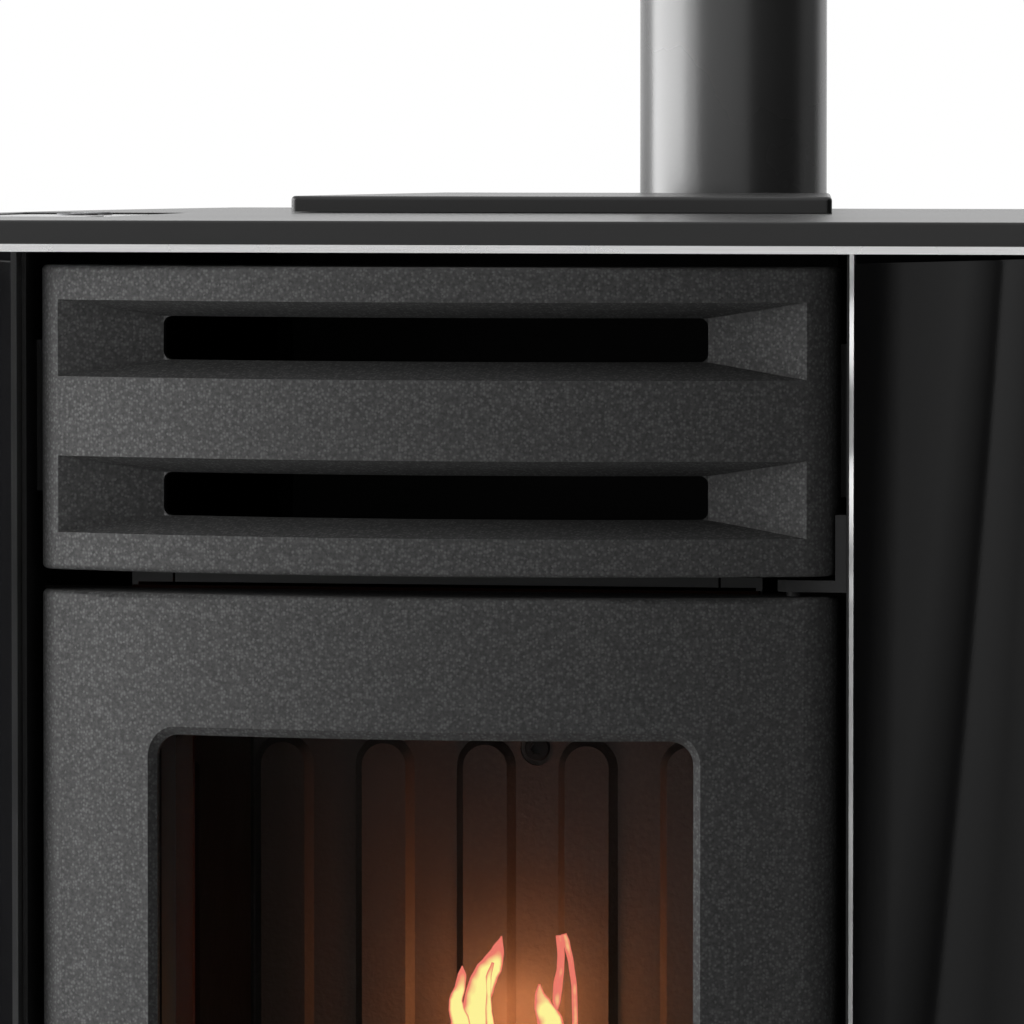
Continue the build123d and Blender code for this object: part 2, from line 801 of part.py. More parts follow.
with BuildPart() as lid_hinge:
    for x in knuckle_starts:
        half = lid_knuckle_width / 2
        rod_along_x(lid_thickness / 2, (x - half, x + half), lid_pivot_depth, lid_pivot_height)
        block((x - half, x + half), (lid_pivot_depth, lid_pivot_depth + lid_thickness / 2),
              (slab_top + 0.05, lid_pivot_height))
        block((x - half, x + half), (lid_pivot_depth, lid_leaf_back),
              (slab_top + 0.05, slab_top + 0.05 + lid_leaf_thickness))
    pin_end = lid_rear_half_width - lid_end_gap - 1
    rod_along_x(lid_pin_radius, (-pin_end, pin_end), lid_pivot_depth, lid_pivot_height)
lid_hinge.part.label = "lid_hinge"
export_step(lid_hinge.part, "parts/lid_hinge.step")

# ================================================================ front castings

upper_slot_height = grille_top - upper_slot_drop

with BuildPart() as upper_grille:
    add(casting_blank(grille_bottom, grille_top, slot_wall))
    for row in range(2):
        add(flared_slot(upper_slot_height - row * slot_pitch, slot_mouth_half_width, slot_throat_half_width,
                        return_depth + 5), mode=Mode.SUBTRACT)
upper_grille.part.label = "upper_grille"
export_step(upper_grille.part, "parts/upper_grille.step")

with BuildPart() as lower_front:
    add(casting_blank(plinth_height, lower_front_top, slot_wall))
    for row in range(2):
        add(flared_slot(lower_front_top - lower_slot_drop - row * slot_pitch, slot_mouth_half_width,
                        slot_throat_half_width, return_depth + 5), mode=Mode.SUBTRACT)
lower_front.part.label = "lower_front"
export_step(lower_front.part, "parts/lower_front.step")

with BuildPart() as ash_drawer_front:
    add(casting_blank(drawer_front_bottom, drawer_front_top, slot_wall))
    add(flared_slot(drawer_front_top - finger_slot_drop, finger_slot_mouth_half_width,
                    finger_slot_throat_half_width, finger_slot_floor), mode=Mode.SUBTRACT)
ash_drawer_front.part.label = "ash_drawer_front"
export_step(ash_drawer_front.part, "parts/ash_drawer_front.step")

with BuildPart() as ash_drawer_pan:
    pan_front = return_depth + face_gap
    block((-drawer_half_width, drawer_half_width), (pan_front, drawer_back), (drawer_floor, drawer_top))
    block((-drawer_half_width + sheet, drawer_half_width - sheet), (pan_front + sheet, drawer_back - sheet),
          (drawer_floor + sheet, drawer_top + 1), Mode.SUBTRACT)
    block((-drawer_flange_half_width, drawer_flange_half_width), (pan_front, pan_front + sheet),
          (drawer_floor, drawer_top))
ash_drawer_pan.part.label = "ash_drawer_pan"
export_step(ash_drawer_pan.part, "parts/ash_drawer_pan.step")

with BuildPart() as drawer_shelf:
    shelf_top = drawer_floor - face_gap
    block((-frame_x + face_gap, frame_x - face_gap), (return_depth + 2, shelf_back),
          (shelf_top - shelf_thickness, shelf_top))
    for side in (-1, 1):
        guide = drawer_half_width + face_gap
        block((side * guide, side * (guide + sheet)), (return_depth + 4, shelf_back),
              (shelf_top, shelf_top + guide_height))
drawer_shelf.part.label = "drawer_shelf"
export_step(drawer_shelf.part, "parts/drawer_shelf.step")

# ================================================================ door

boss_heights = ((door_bottom, door_bottom + 30), (door_top - 30, door_top))

with BuildPart() as door_casting:
    add(casting_blank(door_bottom, door_top, casting_wall))
    for low, high in boss_heights:
        rod_along_z(hinge_boss_radius, hinge_x, hinge_depth, (low, high))
    rod_along_y(latch_boss_radius, latch_x, (face_depth(latch_x) + 2, latch_boss_end), latch_height)
    window_middle = (window_top + window_bottom) / 2
    with BuildSketch(Plane((0, y_at(-20), window_middle), x_dir=(1, 0, 0), z_dir=(0, -1, 0))):
        RectangleRounded(2 * window_half_width, window_top - window_bottom, window_corner_radius)
    extrude(amount=-120, mode=Mode.SUBTRACT)
    reveal = [
        edge
        for edge in door_casting.edges()
        if abs(edge.center().X) < window_half_width + 1
        and window_bottom - 1 < edge.center().Z < window_top + 1
        and abs(math.hypot(edge.center().X, edge.center().Y - y_at(front_radius)) - front_radius) < 10
        and all(
            abs(math.hypot(v.X, v.Y - y_at(front_radius)) - front_radius) < 0.05 for v in edge.vertices()
        )
    ]
    chamfer(reveal, window_bevel)
    for low, high in boss_heights:
        rod_along_z(hinge_pin_radius + shaft_gap, hinge_x, hinge_depth, (low - 1, high + 1), Mode.SUBTRACT)
    rod_along_y(spindle_radius + shaft_gap, latch_x, (0, latch_boss_end + 1), latch_height, Mode.SUBTRACT)
door_casting.part.label = "door_casting"
export_step(door_casting.part, "parts/door_casting.step")

glass_inset = casting_wall + face_gap
glass_half_width = window_half_width + glass_lap

with BuildPart() as door_glass:
    glass_heights = (window_bottom - glass_lap, window_top + glass_lap)
    add(curved_solid(glass_half_width, glass_inset, return_depth, *glass_heights))
    add(
        curved_solid(glass_half_width + 1, glass_inset + glass_thickness, return_depth + 1,
                     window_bottom - glass_lap - 1, window_top + glass_lap + 1),
        mode=Mode.SUBTRACT,
    )
door_glass.part.label = "door_glass"
export_step(door_glass.part, "parts/door_glass.step")

retainer_inset = glass_inset + glass_thickness + face_gap
retainer_half_width = window_half_width + retainer_lap

with BuildPart() as glass_retainer:
    add(curved_solid(retainer_half_width, retainer_inset, retainer_depth, window_bottom - retainer_lap,
                     window_top + retainer_lap))
    block((-window_half_width, window_half_width), (0, 100), (window_bottom, window_top), Mode.SUBTRACT)
glass_retainer.part.label = "glass_retainer"
export_step(glass_retainer.part, "parts/glass_retainer.step")

rope_depth = retainer_depth + 0.15 + rope_radius

rope_plane = Plane((0, y_at(rope_depth), (window_top + window_bottom) / 2), x_dir=(1, 0, 0), z_dir=(0, -1, 0))

with BuildSketch(rope_plane) as rope_outline:
    RectangleRounded(2 * (window_half_width + rope_lap), window_top - window_bottom + 2 * rope_lap, 16)
rope_path = rope_outline.sketch.face().outer_wire()

with BuildPart() as door_rope_seal:
    with BuildSketch(Plane(origin=rope_path @ 0, z_dir=rope_path % 0)):
        Circle(rope_radius)
    sweep(path=rope_path)
door_rope_seal.part.label = "door_rope_seal"
export_step(door_rope_seal.part, "parts/door_rope_seal.step")


def hinge_bracket(tab_low, leg_low, pin_range):
    """Bent bracket on the right side frame, with the pin that a door boss turns on."""
    wall = frame_x - face_gap
    depths = (hinge_depth - hinge_tab_half_depth, hinge_depth + hinge_tab_half_depth)
    with BuildPart() as bracket:
        block((hinge_x - hinge_tab_reach, wall), depths, (tab_low, tab_low + hinge_tab_thickness))
        block((wall - hinge_leg_thickness, wall), depths, (leg_low, leg_low + hinge_leg_height))
        chamfer(bracket.edges().filter_by(Axis.Z).sort_by(Axis.X)[:2], 5)
        rod_along_z(hinge_pin_radius, hinge_x, hinge_depth, pin_range)
    return bracket.part


upper_tab = door_top + 2.3
lower_tab = door_bottom - face_gap - hinge_shoulder - hinge_tab_thickness
upper_pin = (door_top - hinge_pin_grip, upper_tab + hinge_tab_thickness)
lower_pin = (lower_tab, door_bottom + hinge_pin_grip)

upper_hinge_bracket = hinge_bracket(upper_tab, upper_tab, upper_pin)
upper_hinge_bracket.label = "upper_hinge_bracket"
export_step(upper_hinge_bracket, "parts/upper_hinge_bracket.step")

with BuildPart() as lower_hinge_bracket:
    add(hinge_bracket(lower_tab, lower_tab + hinge_tab_thickness - hinge_leg_height, lower_pin))
    rod_along_z(2 * hinge_pin_radius, hinge_x, hinge_depth,
                (lower_tab + hinge_tab_thickness, door_bottom - face_gap))
lower_hinge_bracket.part.label = "lower_hinge_bracket"
export_step(lower_hinge_bracket.part, "parts/lower_hinge_bracket.step")

hub_start = latch_boss_end + face_gap

with BuildPart() as latch_hook:
    rod_along_y(spindle_radius, latch_x, (2, hub_start + hook_thickness + 1), latch_height)
    rod_along_y(latch_hub_radius, latch_x, (hub_start, hub_start + hook_thickness + 1), latch_height)
    block((latch_x - hook_width / 2, latch_x + hook_width / 2),
          (hub_start + 0.7, hub_start + 0.7 + hook_thickness),
          (latch_height - hook_length, latch_height))
latch_hook.part.label = "latch_hook"
export_step(latch_hook.part, "parts/latch_hook.step")

knob_back = -knob_reach + knob_thickness

with BuildPart() as latch_knob:
    with BuildSketch(Plane((latch_x, y_at(-knob_reach), latch_height), x_dir=(0, 0, 1), z_dir=(0, -1, 0))):
        SlotOverall(knob_length, knob_width)
    extrude(amount=-knob_thickness)
    fillet(latch_knob.edges().group_by(Axis.Y)[0], 3.5)
    rod_along_y(latch_boss_radius + 1.5, latch_x, (knob_back, face_depth(latch_x) - 3.5), latch_height)
    rod_along_y(spindle_radius + 0.02, latch_x, (1.9, 60), latch_height, Mode.SUBTRACT)
latch_knob.part.label = "latch_knob"
export_step(latch_knob.part, "parts/latch_knob.step")

with BuildPart() as latch_keeper:
    keeper_post = latch_x - latch_boss_radius - 1.5 - keeper_lip
    keeper_z = (latch_height - keeper_height / 2, latch_height + keeper_height / 2)
    arm_depth = flange_front + 2
    block((keeper_post, keeper_post + keeper_lip), (keeper_lip_depth, keeper_lip_depth + keeper_sheet),
          keeper_z)
    block((keeper_post - keeper_sheet, keeper_post), (keeper_lip_depth, arm_depth + keeper_sheet), keeper_z)
    block((-frame_x + face_gap, keeper_post), (arm_depth, arm_depth + keeper_sheet), keeper_z)
    block((-frame_x + face_gap, -frame_x + face_gap + keeper_sheet), (arm_depth - 20, arm_depth), keeper_z)
latch_keeper.part.label = "latch_keeper"
export_step(latch_keeper.part, "parts/latch_keeper.step")

# ================================================================ firebox

shell_x = shell_half_width
shell_inner_x = shell_half_width - shell_wall
shell_inner_top = shell_top - shell_top_plate
duct_x = flue_x + drum_width / 2 + face_gap

with BuildPart() as firebox_shell:
    block((-shell_x, shell_x), (shell_front, shell_back), (shell_bottom, shell_top))
    block((-shell_inner_x, shell_inner_x), (shell_front - 1, shell_back - shell_wall),
          (shell_bottom + shell_wall, shell_inner_top), Mode.SUBTRACT)
    for side in (-1, 1):
        block((side * shell_x, side * (frame_x - face_gap)),
              (shell_wing_depth, shell_wing_depth + shell_wall),
              (door_bottom + flange_bottom_drop, door_top))
    block((-ash_hole_half_width, ash_hole_half_width), (ash_hole_front, ash_hole_back),
          (shell_bottom - 1, shell_bottom + shell_wall + 1), Mode.SUBTRACT)
    block((-mouth_half_width, mouth_half_width), (shell_back - 9, shell_back + 1), (mouth_bottom, mouth_top),
          Mode.SUBTRACT)
    block((duct_x + sheet, duct_x + duct_width - sheet), (shell_back - 9, shell_back + 1),
          (duct_low + sheet, duct_top - sheet), Mode.SUBTRACT)
    rod_along_y(intake_radius - intake_wall, intake_x, (shell_back - 9, shell_back + 1), intake_height,
                Mode.SUBTRACT)
    rod_along_y(igniter_radius + 0.2, 0, (shell_back - 9, shell_back + 1), igniter_height, Mode.SUBTRACT)
    for side in (-1, 1):
        block((side * shell_joint_x, side * (shell_joint_x + shell_joint_width)),
              (shell_front - 1, shell_front + 14),
              (shell_inner_top - 1, shell_top + 1), Mode.SUBTRACT)
firebox_shell.part.label = "firebox_shell"
export_step(firebox_shell.part, "parts/firebox_shell.step")

flange_opening_low = window_bottom - flange_border
flange_opening_high = window_top + flange_border / 4

with BuildPart() as firebox_flange:
    block((-flange_half_width, flange_half_width), (flange_front, flange_front + flange_thickness),
          (door_bottom + flange_bottom_drop, door_top + 1.2))
    block((-flange_opening_half_width, flange_opening_half_width), (flange_front - 1, flange_front + 9),
          (flange_opening_low, flange_opening_high), Mode.SUBTRACT)
    fillet(firebox_flange.edges().filter_by(Axis.Y).filter_by(
        lambda e: abs(e.center().X) < flange_opening_half_width + 1), 8)
firebox_flange.part.label = "firebox_flange"
export_step(firebox_flange.part, "parts/firebox_flange.step")

back_plate_top = baffle_bottom - face_gap
back_plate_half_width = liner_inner_x - face_gap
pad_top = slab_top - pad_top_drop
pad_length = pad_top - hearth_top - face_gap
back_screw_z = slab_top - back_screw_drop

with BuildPart() as firebox_back_plate:
    block((-back_plate_half_width, back_plate_half_width), (back_plate_front, back_plate_back),
          (hearth_top + face_gap, back_plate_top))
    for side in (-1, 1):
        for n in range(pad_pairs):
            centre = side * (n + 0.5) * pad_pitch
            face = Plane((centre, y_at(back_plate_front), hearth_top + face_gap), x_dir=(1, 0, 0),
                         z_dir=(0, -1, 0))
            with BuildSketch(face) as pad:
                with BuildLine():
                    half = pad_width / 2
                    Polyline((-half, pad_length - half), (-half, 0), (half, 0), (half, pad_length - half))
                    ThreePointArc((half, pad_length - half), (0, pad_length), (-half, pad_length - half))
                make_face()
            extrude(amount=pad_height, taper=pad_flank_angle)
    block((-mouth_half_width, mouth_half_width), (back_plate_front - 9, back_plate_back + 1),
          (mouth_bottom, mouth_top), Mode.SUBTRACT)
    rod_along_y(counterbore_radius, 0, (back_plate_front - 1, back_plate_front + counterbore_depth),
                back_screw_z,
                Mode.SUBTRACT)
firebox_back_plate.part.label = "firebox_back_plate"
export_step(firebox_back_plate.part, "parts/firebox_back_plate.step")

with BuildPart() as back_plate_screw:
    screw_floor = back_plate_front + counterbore_depth - 0.1
    rod_along_y(back_screw_radius, 0, (back_plate_front - 1.4, screw_floor), back_screw_z)
    fillet(back_plate_screw.edges().group_by(Axis.Y)[0], 0.8)
    with BuildSketch(Plane((0, y_at(back_plate_front - 1.4), back_screw_z), x_dir=(1, 0, 0), z_dir=(0, -1, 0))):
        RegularPolygon(back_screw_socket, 6)
    extrude(amount=-2.6, mode=Mode.SUBTRACT)
back_plate_screw.part.label = "back_plate_screw"
export_step(back_plate_screw.part, "parts/back_plate_screw.step")


def fire_liner(side):
    """Side plate of the firebox, with one upright half-round rib."""
    with BuildPart() as liner:
        block((side * liner_inner_x, side * liner_outer_x),
              (shell_front + 1, back_plate_front - pad_height - 1),
              (hearth_top + face_gap, baffle_bottom - face_gap))
        rib_top = slab_top - pad_top_drop - 8
        rod_along_z(liner_rib_radius, side * liner_inner_x, liner_rib_depth, (hearth_top + face_gap, rib_top))
        with Locations((side * liner_inner_x, y_at(liner_rib_depth), rib_top)):
            Sphere(liner_rib_radius)
        block((side * liner_outer_x, side * (liner_outer_x + 2 * liner_rib_radius)),
              (liner_rib_depth - 2 * liner_rib_radius, liner_rib_depth + 2 * liner_rib_radius),
              (hearth_height, shell_top), Mode.SUBTRACT)
    return liner.part


left_fire_liner = fire_liner(-1)
left_fire_liner.label = "left_fire_liner"
export_step(left_fire_liner, "parts/left_fire_liner.step")
right_fire_liner = fire_liner(1)
right_fire_liner.label = "right_fire_liner"
export_step(right_fire_liner, "parts/right_fire_liner.step")

with BuildPart() as flame_baffle:
    block((-liner_outer_x, liner_outer_x), (baffle_front, back_plate_back), (baffle_bottom, baffle_top))
    with Locations((0, y_at(pot_depth), baffle_top)):
        with GridLocations(60, 1, 3, 1):
            Box(8, 90, 6)
flame_baffle.part.label = "flame_baffle"
export_step(flame_baffle.part, "parts/flame_baffle.step")

pot_hole = (pot_width / 2 + pot_clearance, pot_length / 2 + pot_clearance)

with BuildPart() as grate_support:
    block((-liner_outer_x, liner_outer_x), (shell_front + 1, back_plate_back), (hearth_height, hearth_top))
    block((-pot_hole[0], pot_hole[0]), (pot_depth - pot_hole[1], pot_depth + pot_hole[1]),
          (hearth_height - 1, hearth_top + 1), Mode.SUBTRACT)
    hearth_leg_x = liner_outer_x - hearth_leg_inset
    for x in (-hearth_leg_x, hearth_leg_x):
        for depth in (shell_front + 12, shell_back - 20):
            block((x - 6, x + 6), (depth - 5, depth + 5),
                  (shell_bottom + shell_wall + face_gap, hearth_height))
grate_support.part.label = "grate_support"
export_step(grate_support.part, "parts/grate_support.step")

rim_low = hearth_top + face_gap

with BuildPart() as burn_pot:
    with BuildSketch(Plane.XY.offset(rim_low - pot_height)):
        with Locations((0, y_at(pot_depth))):
            RectangleRounded(pot_width - 2 * pot_taper, pot_length - 2 * pot_taper, 8)
    with BuildSketch(Plane.XY.offset(rim_low)):
        with Locations((0, y_at(pot_depth))):
            RectangleRounded(pot_width, pot_length, 8)
    loft()
    with BuildSketch(Plane.XY.offset(rim_low)):
        with Locations((0, y_at(pot_depth))):
            RectangleRounded(pot_width + 2 * pot_rim, pot_length + 2 * pot_rim, 10)
    extrude(amount=pot_rim_thickness)
    with BuildSketch(Plane.XY.offset(rim_low - pot_height + pot_wall)):
        with Locations((0, y_at(pot_depth))):
            RectangleRounded(pot_width - 2 * (pot_taper + pot_wall),
                             pot_length - 2 * (pot_taper + pot_wall), 5)
    with BuildSketch(Plane.XY.offset(rim_low + pot_rim_thickness + 0.5)):
        with Locations((0, y_at(pot_depth))):
            RectangleRounded(pot_width - 2 * pot_wall, pot_length - 2 * pot_wall, 5)
    loft(mode=Mode.SUBTRACT)
    with BuildSketch(Plane.XY.offset(rim_low - pot_height - 1)):
        with Locations((0, y_at(pot_depth))):
            with GridLocations(12, 11, 5, 4):
                Circle(2.2)
    extrude(amount=pot_wall + 3, mode=Mode.SUBTRACT)
burn_pot.part.label = "burn_pot"
export_step(burn_pot.part, "parts/burn_pot.step")

with BuildPart() as igniter:
    rod_along_y(igniter_radius, 0, (igniter_front, shell_back + 12), igniter_height)
    rod_along_y(igniter_radius + 4, 0, (shell_back + face_gap, shell_back + 7), igniter_height)
igniter.part.label = "igniter"
export_step(igniter.part, "parts/igniter.step")

# ================================================================ fuel feed

auger_direction = (0, -math.sqrt(0.5), math.sqrt(0.5))
auger_plane = Plane((0, y_at(auger_low_depth), auger_low_height), x_dir=(1, 0, 0), z_dir=auger_direction)

with BuildPart() as auger_bore_cutter:
    with BuildSketch(auger_plane.offset(-60)):
        Circle(auger_tube_radius + face_gap)
    extrude(amount=auger_length + 70)


def hopper_form(inset, low_extra):
    """The hopper's box, funnel and throat as one solid, inset from the outside."""
    width = 2 * (hopper_half_width - inset)
    length = hopper_back - hopper_front - 2 * inset
    throat_width = 2 * (hopper_throat_half_width - inset)
    throat_length = hopper_throat_back - hopper_throat_front - 2 * inset
    box_middle = (0, y_at((hopper_front + hopper_back) / 2))
    throat_middle = (0, y_at((hopper_throat_front + hopper_throat_back) / 2))
    with BuildPart() as form:
        with BuildSketch(Plane.XY.offset(hopper_funnel_top)):
            with Locations(box_middle):
                Rectangle(width, length)
        extrude(amount=frame_top - hopper_funnel_top + low_extra)
        with BuildSketch(Plane.XY.offset(hopper_throat_top)):
            with Locations(throat_middle):
                Rectangle(throat_width, throat_length)
        with BuildSketch(Plane.XY.offset(hopper_funnel_top)):
            with Locations(box_middle):
                Rectangle(width, length)
        loft()
        with BuildSketch(Plane.XY.offset(hopper_throat_top)):
            with Locations(throat_middle):
                Rectangle(throat_width, throat_length)
        extrude(amount=hopper_throat_bottom - hopper_throat_top - low_extra)
    return form.part


with BuildPart() as hopper:
    add(hopper_form(0, 0))
    add(hopper_form(sheet, 1), mode=Mode.SUBTRACT)
    with BuildSketch(Plane.XY.offset(frame_top - sheet)):
        with Locations((0, y_at((hopper_front + hopper_back) / 2))):
            Rectangle(2 * (hopper_half_width + hopper_flange), hopper_back - hopper_front + 10)
            Rectangle(2 * (hopper_half_width - sheet), hopper_back - hopper_front - 2 * sheet,
                      mode=Mode.SUBTRACT)
    extrude(amount=sheet)
    add(auger_bore_cutter.part, mode=Mode.SUBTRACT)
    across_auger = (0, auger_direction[1], auger_direction[1])
    with BuildSketch(Plane(auger_plane.origin, x_dir=(1, 0, 0), z_dir=across_auger)):
        Rectangle(4 * hopper_throat_half_width, 3 * auger_length)
    extrude(amount=3 * auger_tube_radius, mode=Mode.SUBTRACT)
hopper.part.label = "hopper"
export_step(hopper.part, "parts/hopper.step")

with BuildPart() as auger_tube:
    with BuildSketch(auger_plane):
        Circle(auger_tube_radius)
        Circle(auger_tube_radius - auger_tube_wall, mode=Mode.SUBTRACT)
    extrude(amount=auger_length)
    throat = hopper_throat_half_width - sheet - 1
    throat_low = auger_low_height + auger_low_depth - hopper_throat_back + 20
    block((-throat, throat), (hopper_throat_front + 6, hopper_throat_back - 6),
          (throat_low, hopper_throat_top),
          Mode.SUBTRACT)
    with BuildSketch(auger_plane):
        Rectangle(auger_motor_side - 2, auger_motor_side - 2)
        Circle(auger_shaft_radius + 1, mode=Mode.SUBTRACT)
    extrude(amount=sheet)
auger_tube.part.label = "auger_tube"
export_step(auger_tube.part, "parts/auger_tube.step")

with BuildPart() as auger_screw:
    with BuildSketch(auger_plane.offset(-20)):
        Circle(auger_shaft_radius)
    extrude(amount=auger_length + 10)
    flight_middle = (auger_shaft_radius + auger_flight_radius) / 2
    flight_reach = auger_flight_radius - auger_shaft_radius + 1
    flight_plane = auger_plane.offset(auger_flight_start)
    helix = Helix(auger_pitch, auger_pitch * auger_turns, flight_middle).moved(flight_plane.location)
    with BuildSketch(Plane(origin=helix @ 0, x_dir=auger_plane.x_dir, z_dir=helix % 0)):
        Rectangle(flight_reach, auger_flight)
    sweep(path=helix, is_frenet=True)
auger_screw.part.label = "auger_screw"
export_step(auger_screw.part, "parts/auger_screw.step")

with BuildPart() as auger_motor:
    with BuildSketch(auger_plane.offset(-face_gap)):
        RectangleRounded(auger_motor_side, auger_motor_side, 5)
    extrude(amount=-auger_motor_length * 0.55)
    with BuildSketch(auger_plane.offset(-auger_motor_length * 0.55)):
        RectangleRounded(auger_motor_side * 0.72, auger_motor_side * 0.72, 8)
    extrude(amount=-auger_motor_length * 0.45)
    with BuildSketch(auger_plane):
        Circle(auger_shaft_radius + shaft_gap)
    extrude(amount=-24, mode=Mode.SUBTRACT)
auger_motor.part.label = "auger_motor"
export_step(auger_motor.part, "parts/auger_motor.step")

with BuildPart() as pellet_chute:
    chute_front = shell_back + face_gap
    block((-chute_half_width, chute_half_width), (chute_front, chute_back), (chute_bottom, chute_top))
    block((-chute_half_width + sheet, chute_half_width - sheet), (chute_front + sheet, chute_back - sheet),
          (mouth_bottom, chute_top - sheet), Mode.SUBTRACT)
    block((-mouth_half_width, mouth_half_width), (chute_front - 1, chute_front + 9),
          (mouth_bottom, mouth_top),
          Mode.SUBTRACT)
    add(auger_bore_cutter.part, mode=Mode.SUBTRACT)
pellet_chute.part.label = "pellet_chute"
export_step(pellet_chute.part, "parts/pellet_chute.step")

# ================================================================ exhaust and flue

drum_x = (flue_x - drum_width / 2, flue_x + drum_width / 2)
outlet_z = (fan_height - drum_radius, fan_height - drum_radius + 2 * spigot_radius)
outlet_end = fan_depth + drum_radius + 2
outlet_middle = (outlet_z[0] + outlet_z[1]) / 2

with BuildPart() as exhaust_fan_housing:
    rod_along_x(drum_radius, drum_x, fan_depth, fan_height)
    block((flue_x - spigot_radius, flue_x + spigot_radius), (outlet_end - sheet, outlet_end), outlet_z)
    block(drum_x, (fan_depth, outlet_end), outlet_z)
    rod_along_y(spigot_radius, flue_x, (outlet_end - 1, spigot_end), tee_height)
    rod_along_x(drum_radius - sheet, (drum_x[0] + sheet, drum_x[1] - sheet), fan_depth, fan_height,
                Mode.SUBTRACT)
    block((drum_x[0] + sheet, drum_x[1] - sheet), (fan_depth, outlet_end - sheet),
          (outlet_z[0] + sheet, outlet_z[1] - sheet), Mode.SUBTRACT)
    rod_along_y(spigot_radius - spigot_wall, flue_x, (outlet_end, spigot_end + 1), tee_height, Mode.SUBTRACT)
    block((drum_x[0] + sheet, drum_x[1] - sheet), (outlet_end - 9, outlet_end + 1),
          (tee_height - 28, tee_height + 28), Mode.SUBTRACT)
    rod_along_x(eye_radius, (drum_x[1] - 5, drum_x[1] + 1), fan_depth, fan_height, Mode.SUBTRACT)
    rod_along_x(impeller_shaft_radius + 2, (drum_x[0] - 1, drum_x[0] + 5), fan_depth, fan_height,
                Mode.SUBTRACT)
exhaust_fan_housing.part.label = "exhaust_fan_housing"
export_step(exhaust_fan_housing.part, "parts/exhaust_fan_housing.step")

impeller_x = (flue_x - impeller_width / 2, flue_x + impeller_width / 2)
motor_front_x = drum_x[0] - face_gap

with BuildPart() as exhaust_impeller:
    rod_along_x(impeller_radius, (impeller_x[0], impeller_x[0] + 2.5), fan_depth, fan_height)
    rod_along_x(impeller_hub_radius, impeller_x, fan_depth, fan_height)
    hub_plane = Plane((impeller_x[0] + 2, y_at(fan_depth), fan_height), x_dir=(0, 1, 0), z_dir=(1, 0, 0))
    with BuildSketch(hub_plane):
        blade_length = impeller_radius - impeller_hub_radius - 3
        with PolarLocations(impeller_hub_radius + 1 + blade_length / 2, impeller_blades):
            Rectangle(blade_length, 2.2)
    extrude(amount=impeller_width - 3)
    rod_along_x(impeller_shaft_radius, (motor_front_x - 26, flue_x), fan_depth, fan_height)
exhaust_impeller.part.label = "exhaust_impeller"
export_step(exhaust_impeller.part, "parts/exhaust_impeller.step")

with BuildPart() as exhaust_fan_motor:
    rod_along_x(exhaust_motor_radius, (motor_front_x - exhaust_motor_length, motor_front_x), fan_depth,
                fan_height)
    fillet(exhaust_fan_motor.edges().group_by(Axis.X)[0], 5)
    rod_along_x(impeller_shaft_radius + shaft_gap, (motor_front_x - 28, motor_front_x + 1), fan_depth,
                fan_height,
                Mode.SUBTRACT)
exhaust_fan_motor.part.label = "exhaust_fan_motor"
export_step(exhaust_fan_motor.part, "parts/exhaust_fan_motor.step")

with BuildPart() as exhaust_duct:
    duct_x_range = (duct_x, duct_x + duct_width)
    inner_x_range = (duct_x + sheet, duct_x + duct_width - sheet)
    block(duct_x_range, (duct_front, duct_back), (duct_bottom, duct_top))
    block(duct_x_range, (shell_back + face_gap, duct_back), (duct_low, duct_top))
    block(inner_x_range, (duct_front + sheet, duct_back - sheet), (duct_bottom + sheet, duct_top - sheet),
          Mode.SUBTRACT)
    block(inner_x_range, (shell_back - 1, duct_back - sheet), (duct_low + sheet, duct_top - sheet),
          Mode.SUBTRACT)
    rod_along_x(eye_radius - 2, (duct_x - 1, duct_x + 5), fan_depth, fan_height, Mode.SUBTRACT)
exhaust_duct.part.label = "exhaust_duct"
export_step(exhaust_duct.part, "parts/exhaust_duct.step")

with BuildPart() as flue_tee:
    rod_along_z(tee_outer_radius, flue_x, flue_depth, (tee_bottom, tee_top))
    branch_inner = spigot_radius + sleeve_gap
    branch_start = body_depth + sheet + 2 * face_gap + 1
    rod_along_y(branch_inner + flue_wall, flue_x, (branch_start, flue_depth), tee_height)
    rod_along_z(tee_inner_radius, flue_x, flue_depth, (tee_bottom - 1, tee_top + 1), Mode.SUBTRACT)
    rod_along_y(branch_inner, flue_x, (branch_start - 1, flue_depth), tee_height, Mode.SUBTRACT)
flue_tee.part.label = "flue_tee"
export_step(flue_tee.part, "parts/flue_tee.step")

with BuildPart() as tee_cap:
    cap_inner = tee_outer_radius + sleeve_gap
    rod_along_z(cap_outer_radius, flue_x, flue_depth, (tee_bottom - 2, tee_bottom + cap_depth))
    rod_along_z(cap_inner, flue_x, flue_depth, (tee_bottom - face_gap, tee_bottom + cap_depth + 1),
                Mode.SUBTRACT)
    rod_along_z(flue_radius * 0.3, flue_x, flue_depth, (tee_bottom - 12, tee_bottom - 2))
tee_cap.part.label = "tee_cap"
export_step(tee_cap.part, "parts/tee_cap.step")

with BuildPart() as flue_pipe:
    end_low = flue_top - flue_end_length
    rod_along_z(flue_radius, flue_x, flue_depth, (pipe_bottom, end_low))
    rod_along_z(flue_radius - flue_end_swage, flue_x, flue_depth, (end_low, flue_top))
    rod_along_z(flue_radius + flue_bead, flue_x, flue_depth, (end_low - flue_bead_height, end_low))
    bead_rims = flue_pipe.edges().filter_by(GeomType.CIRCLE)
    fillet([rim for rim in bead_rims if rim.radius > flue_radius + flue_bead / 2], 1.2)
    rod_along_z(flue_radius - flue_wall, flue_x, flue_depth, (pipe_bottom - 1, flue_top + 1), Mode.SUBTRACT)
flue_pipe.part.label = "flue_pipe"
export_step(flue_pipe.part, "parts/flue_pipe.step")

# ================================================================ air, room fan and electrics

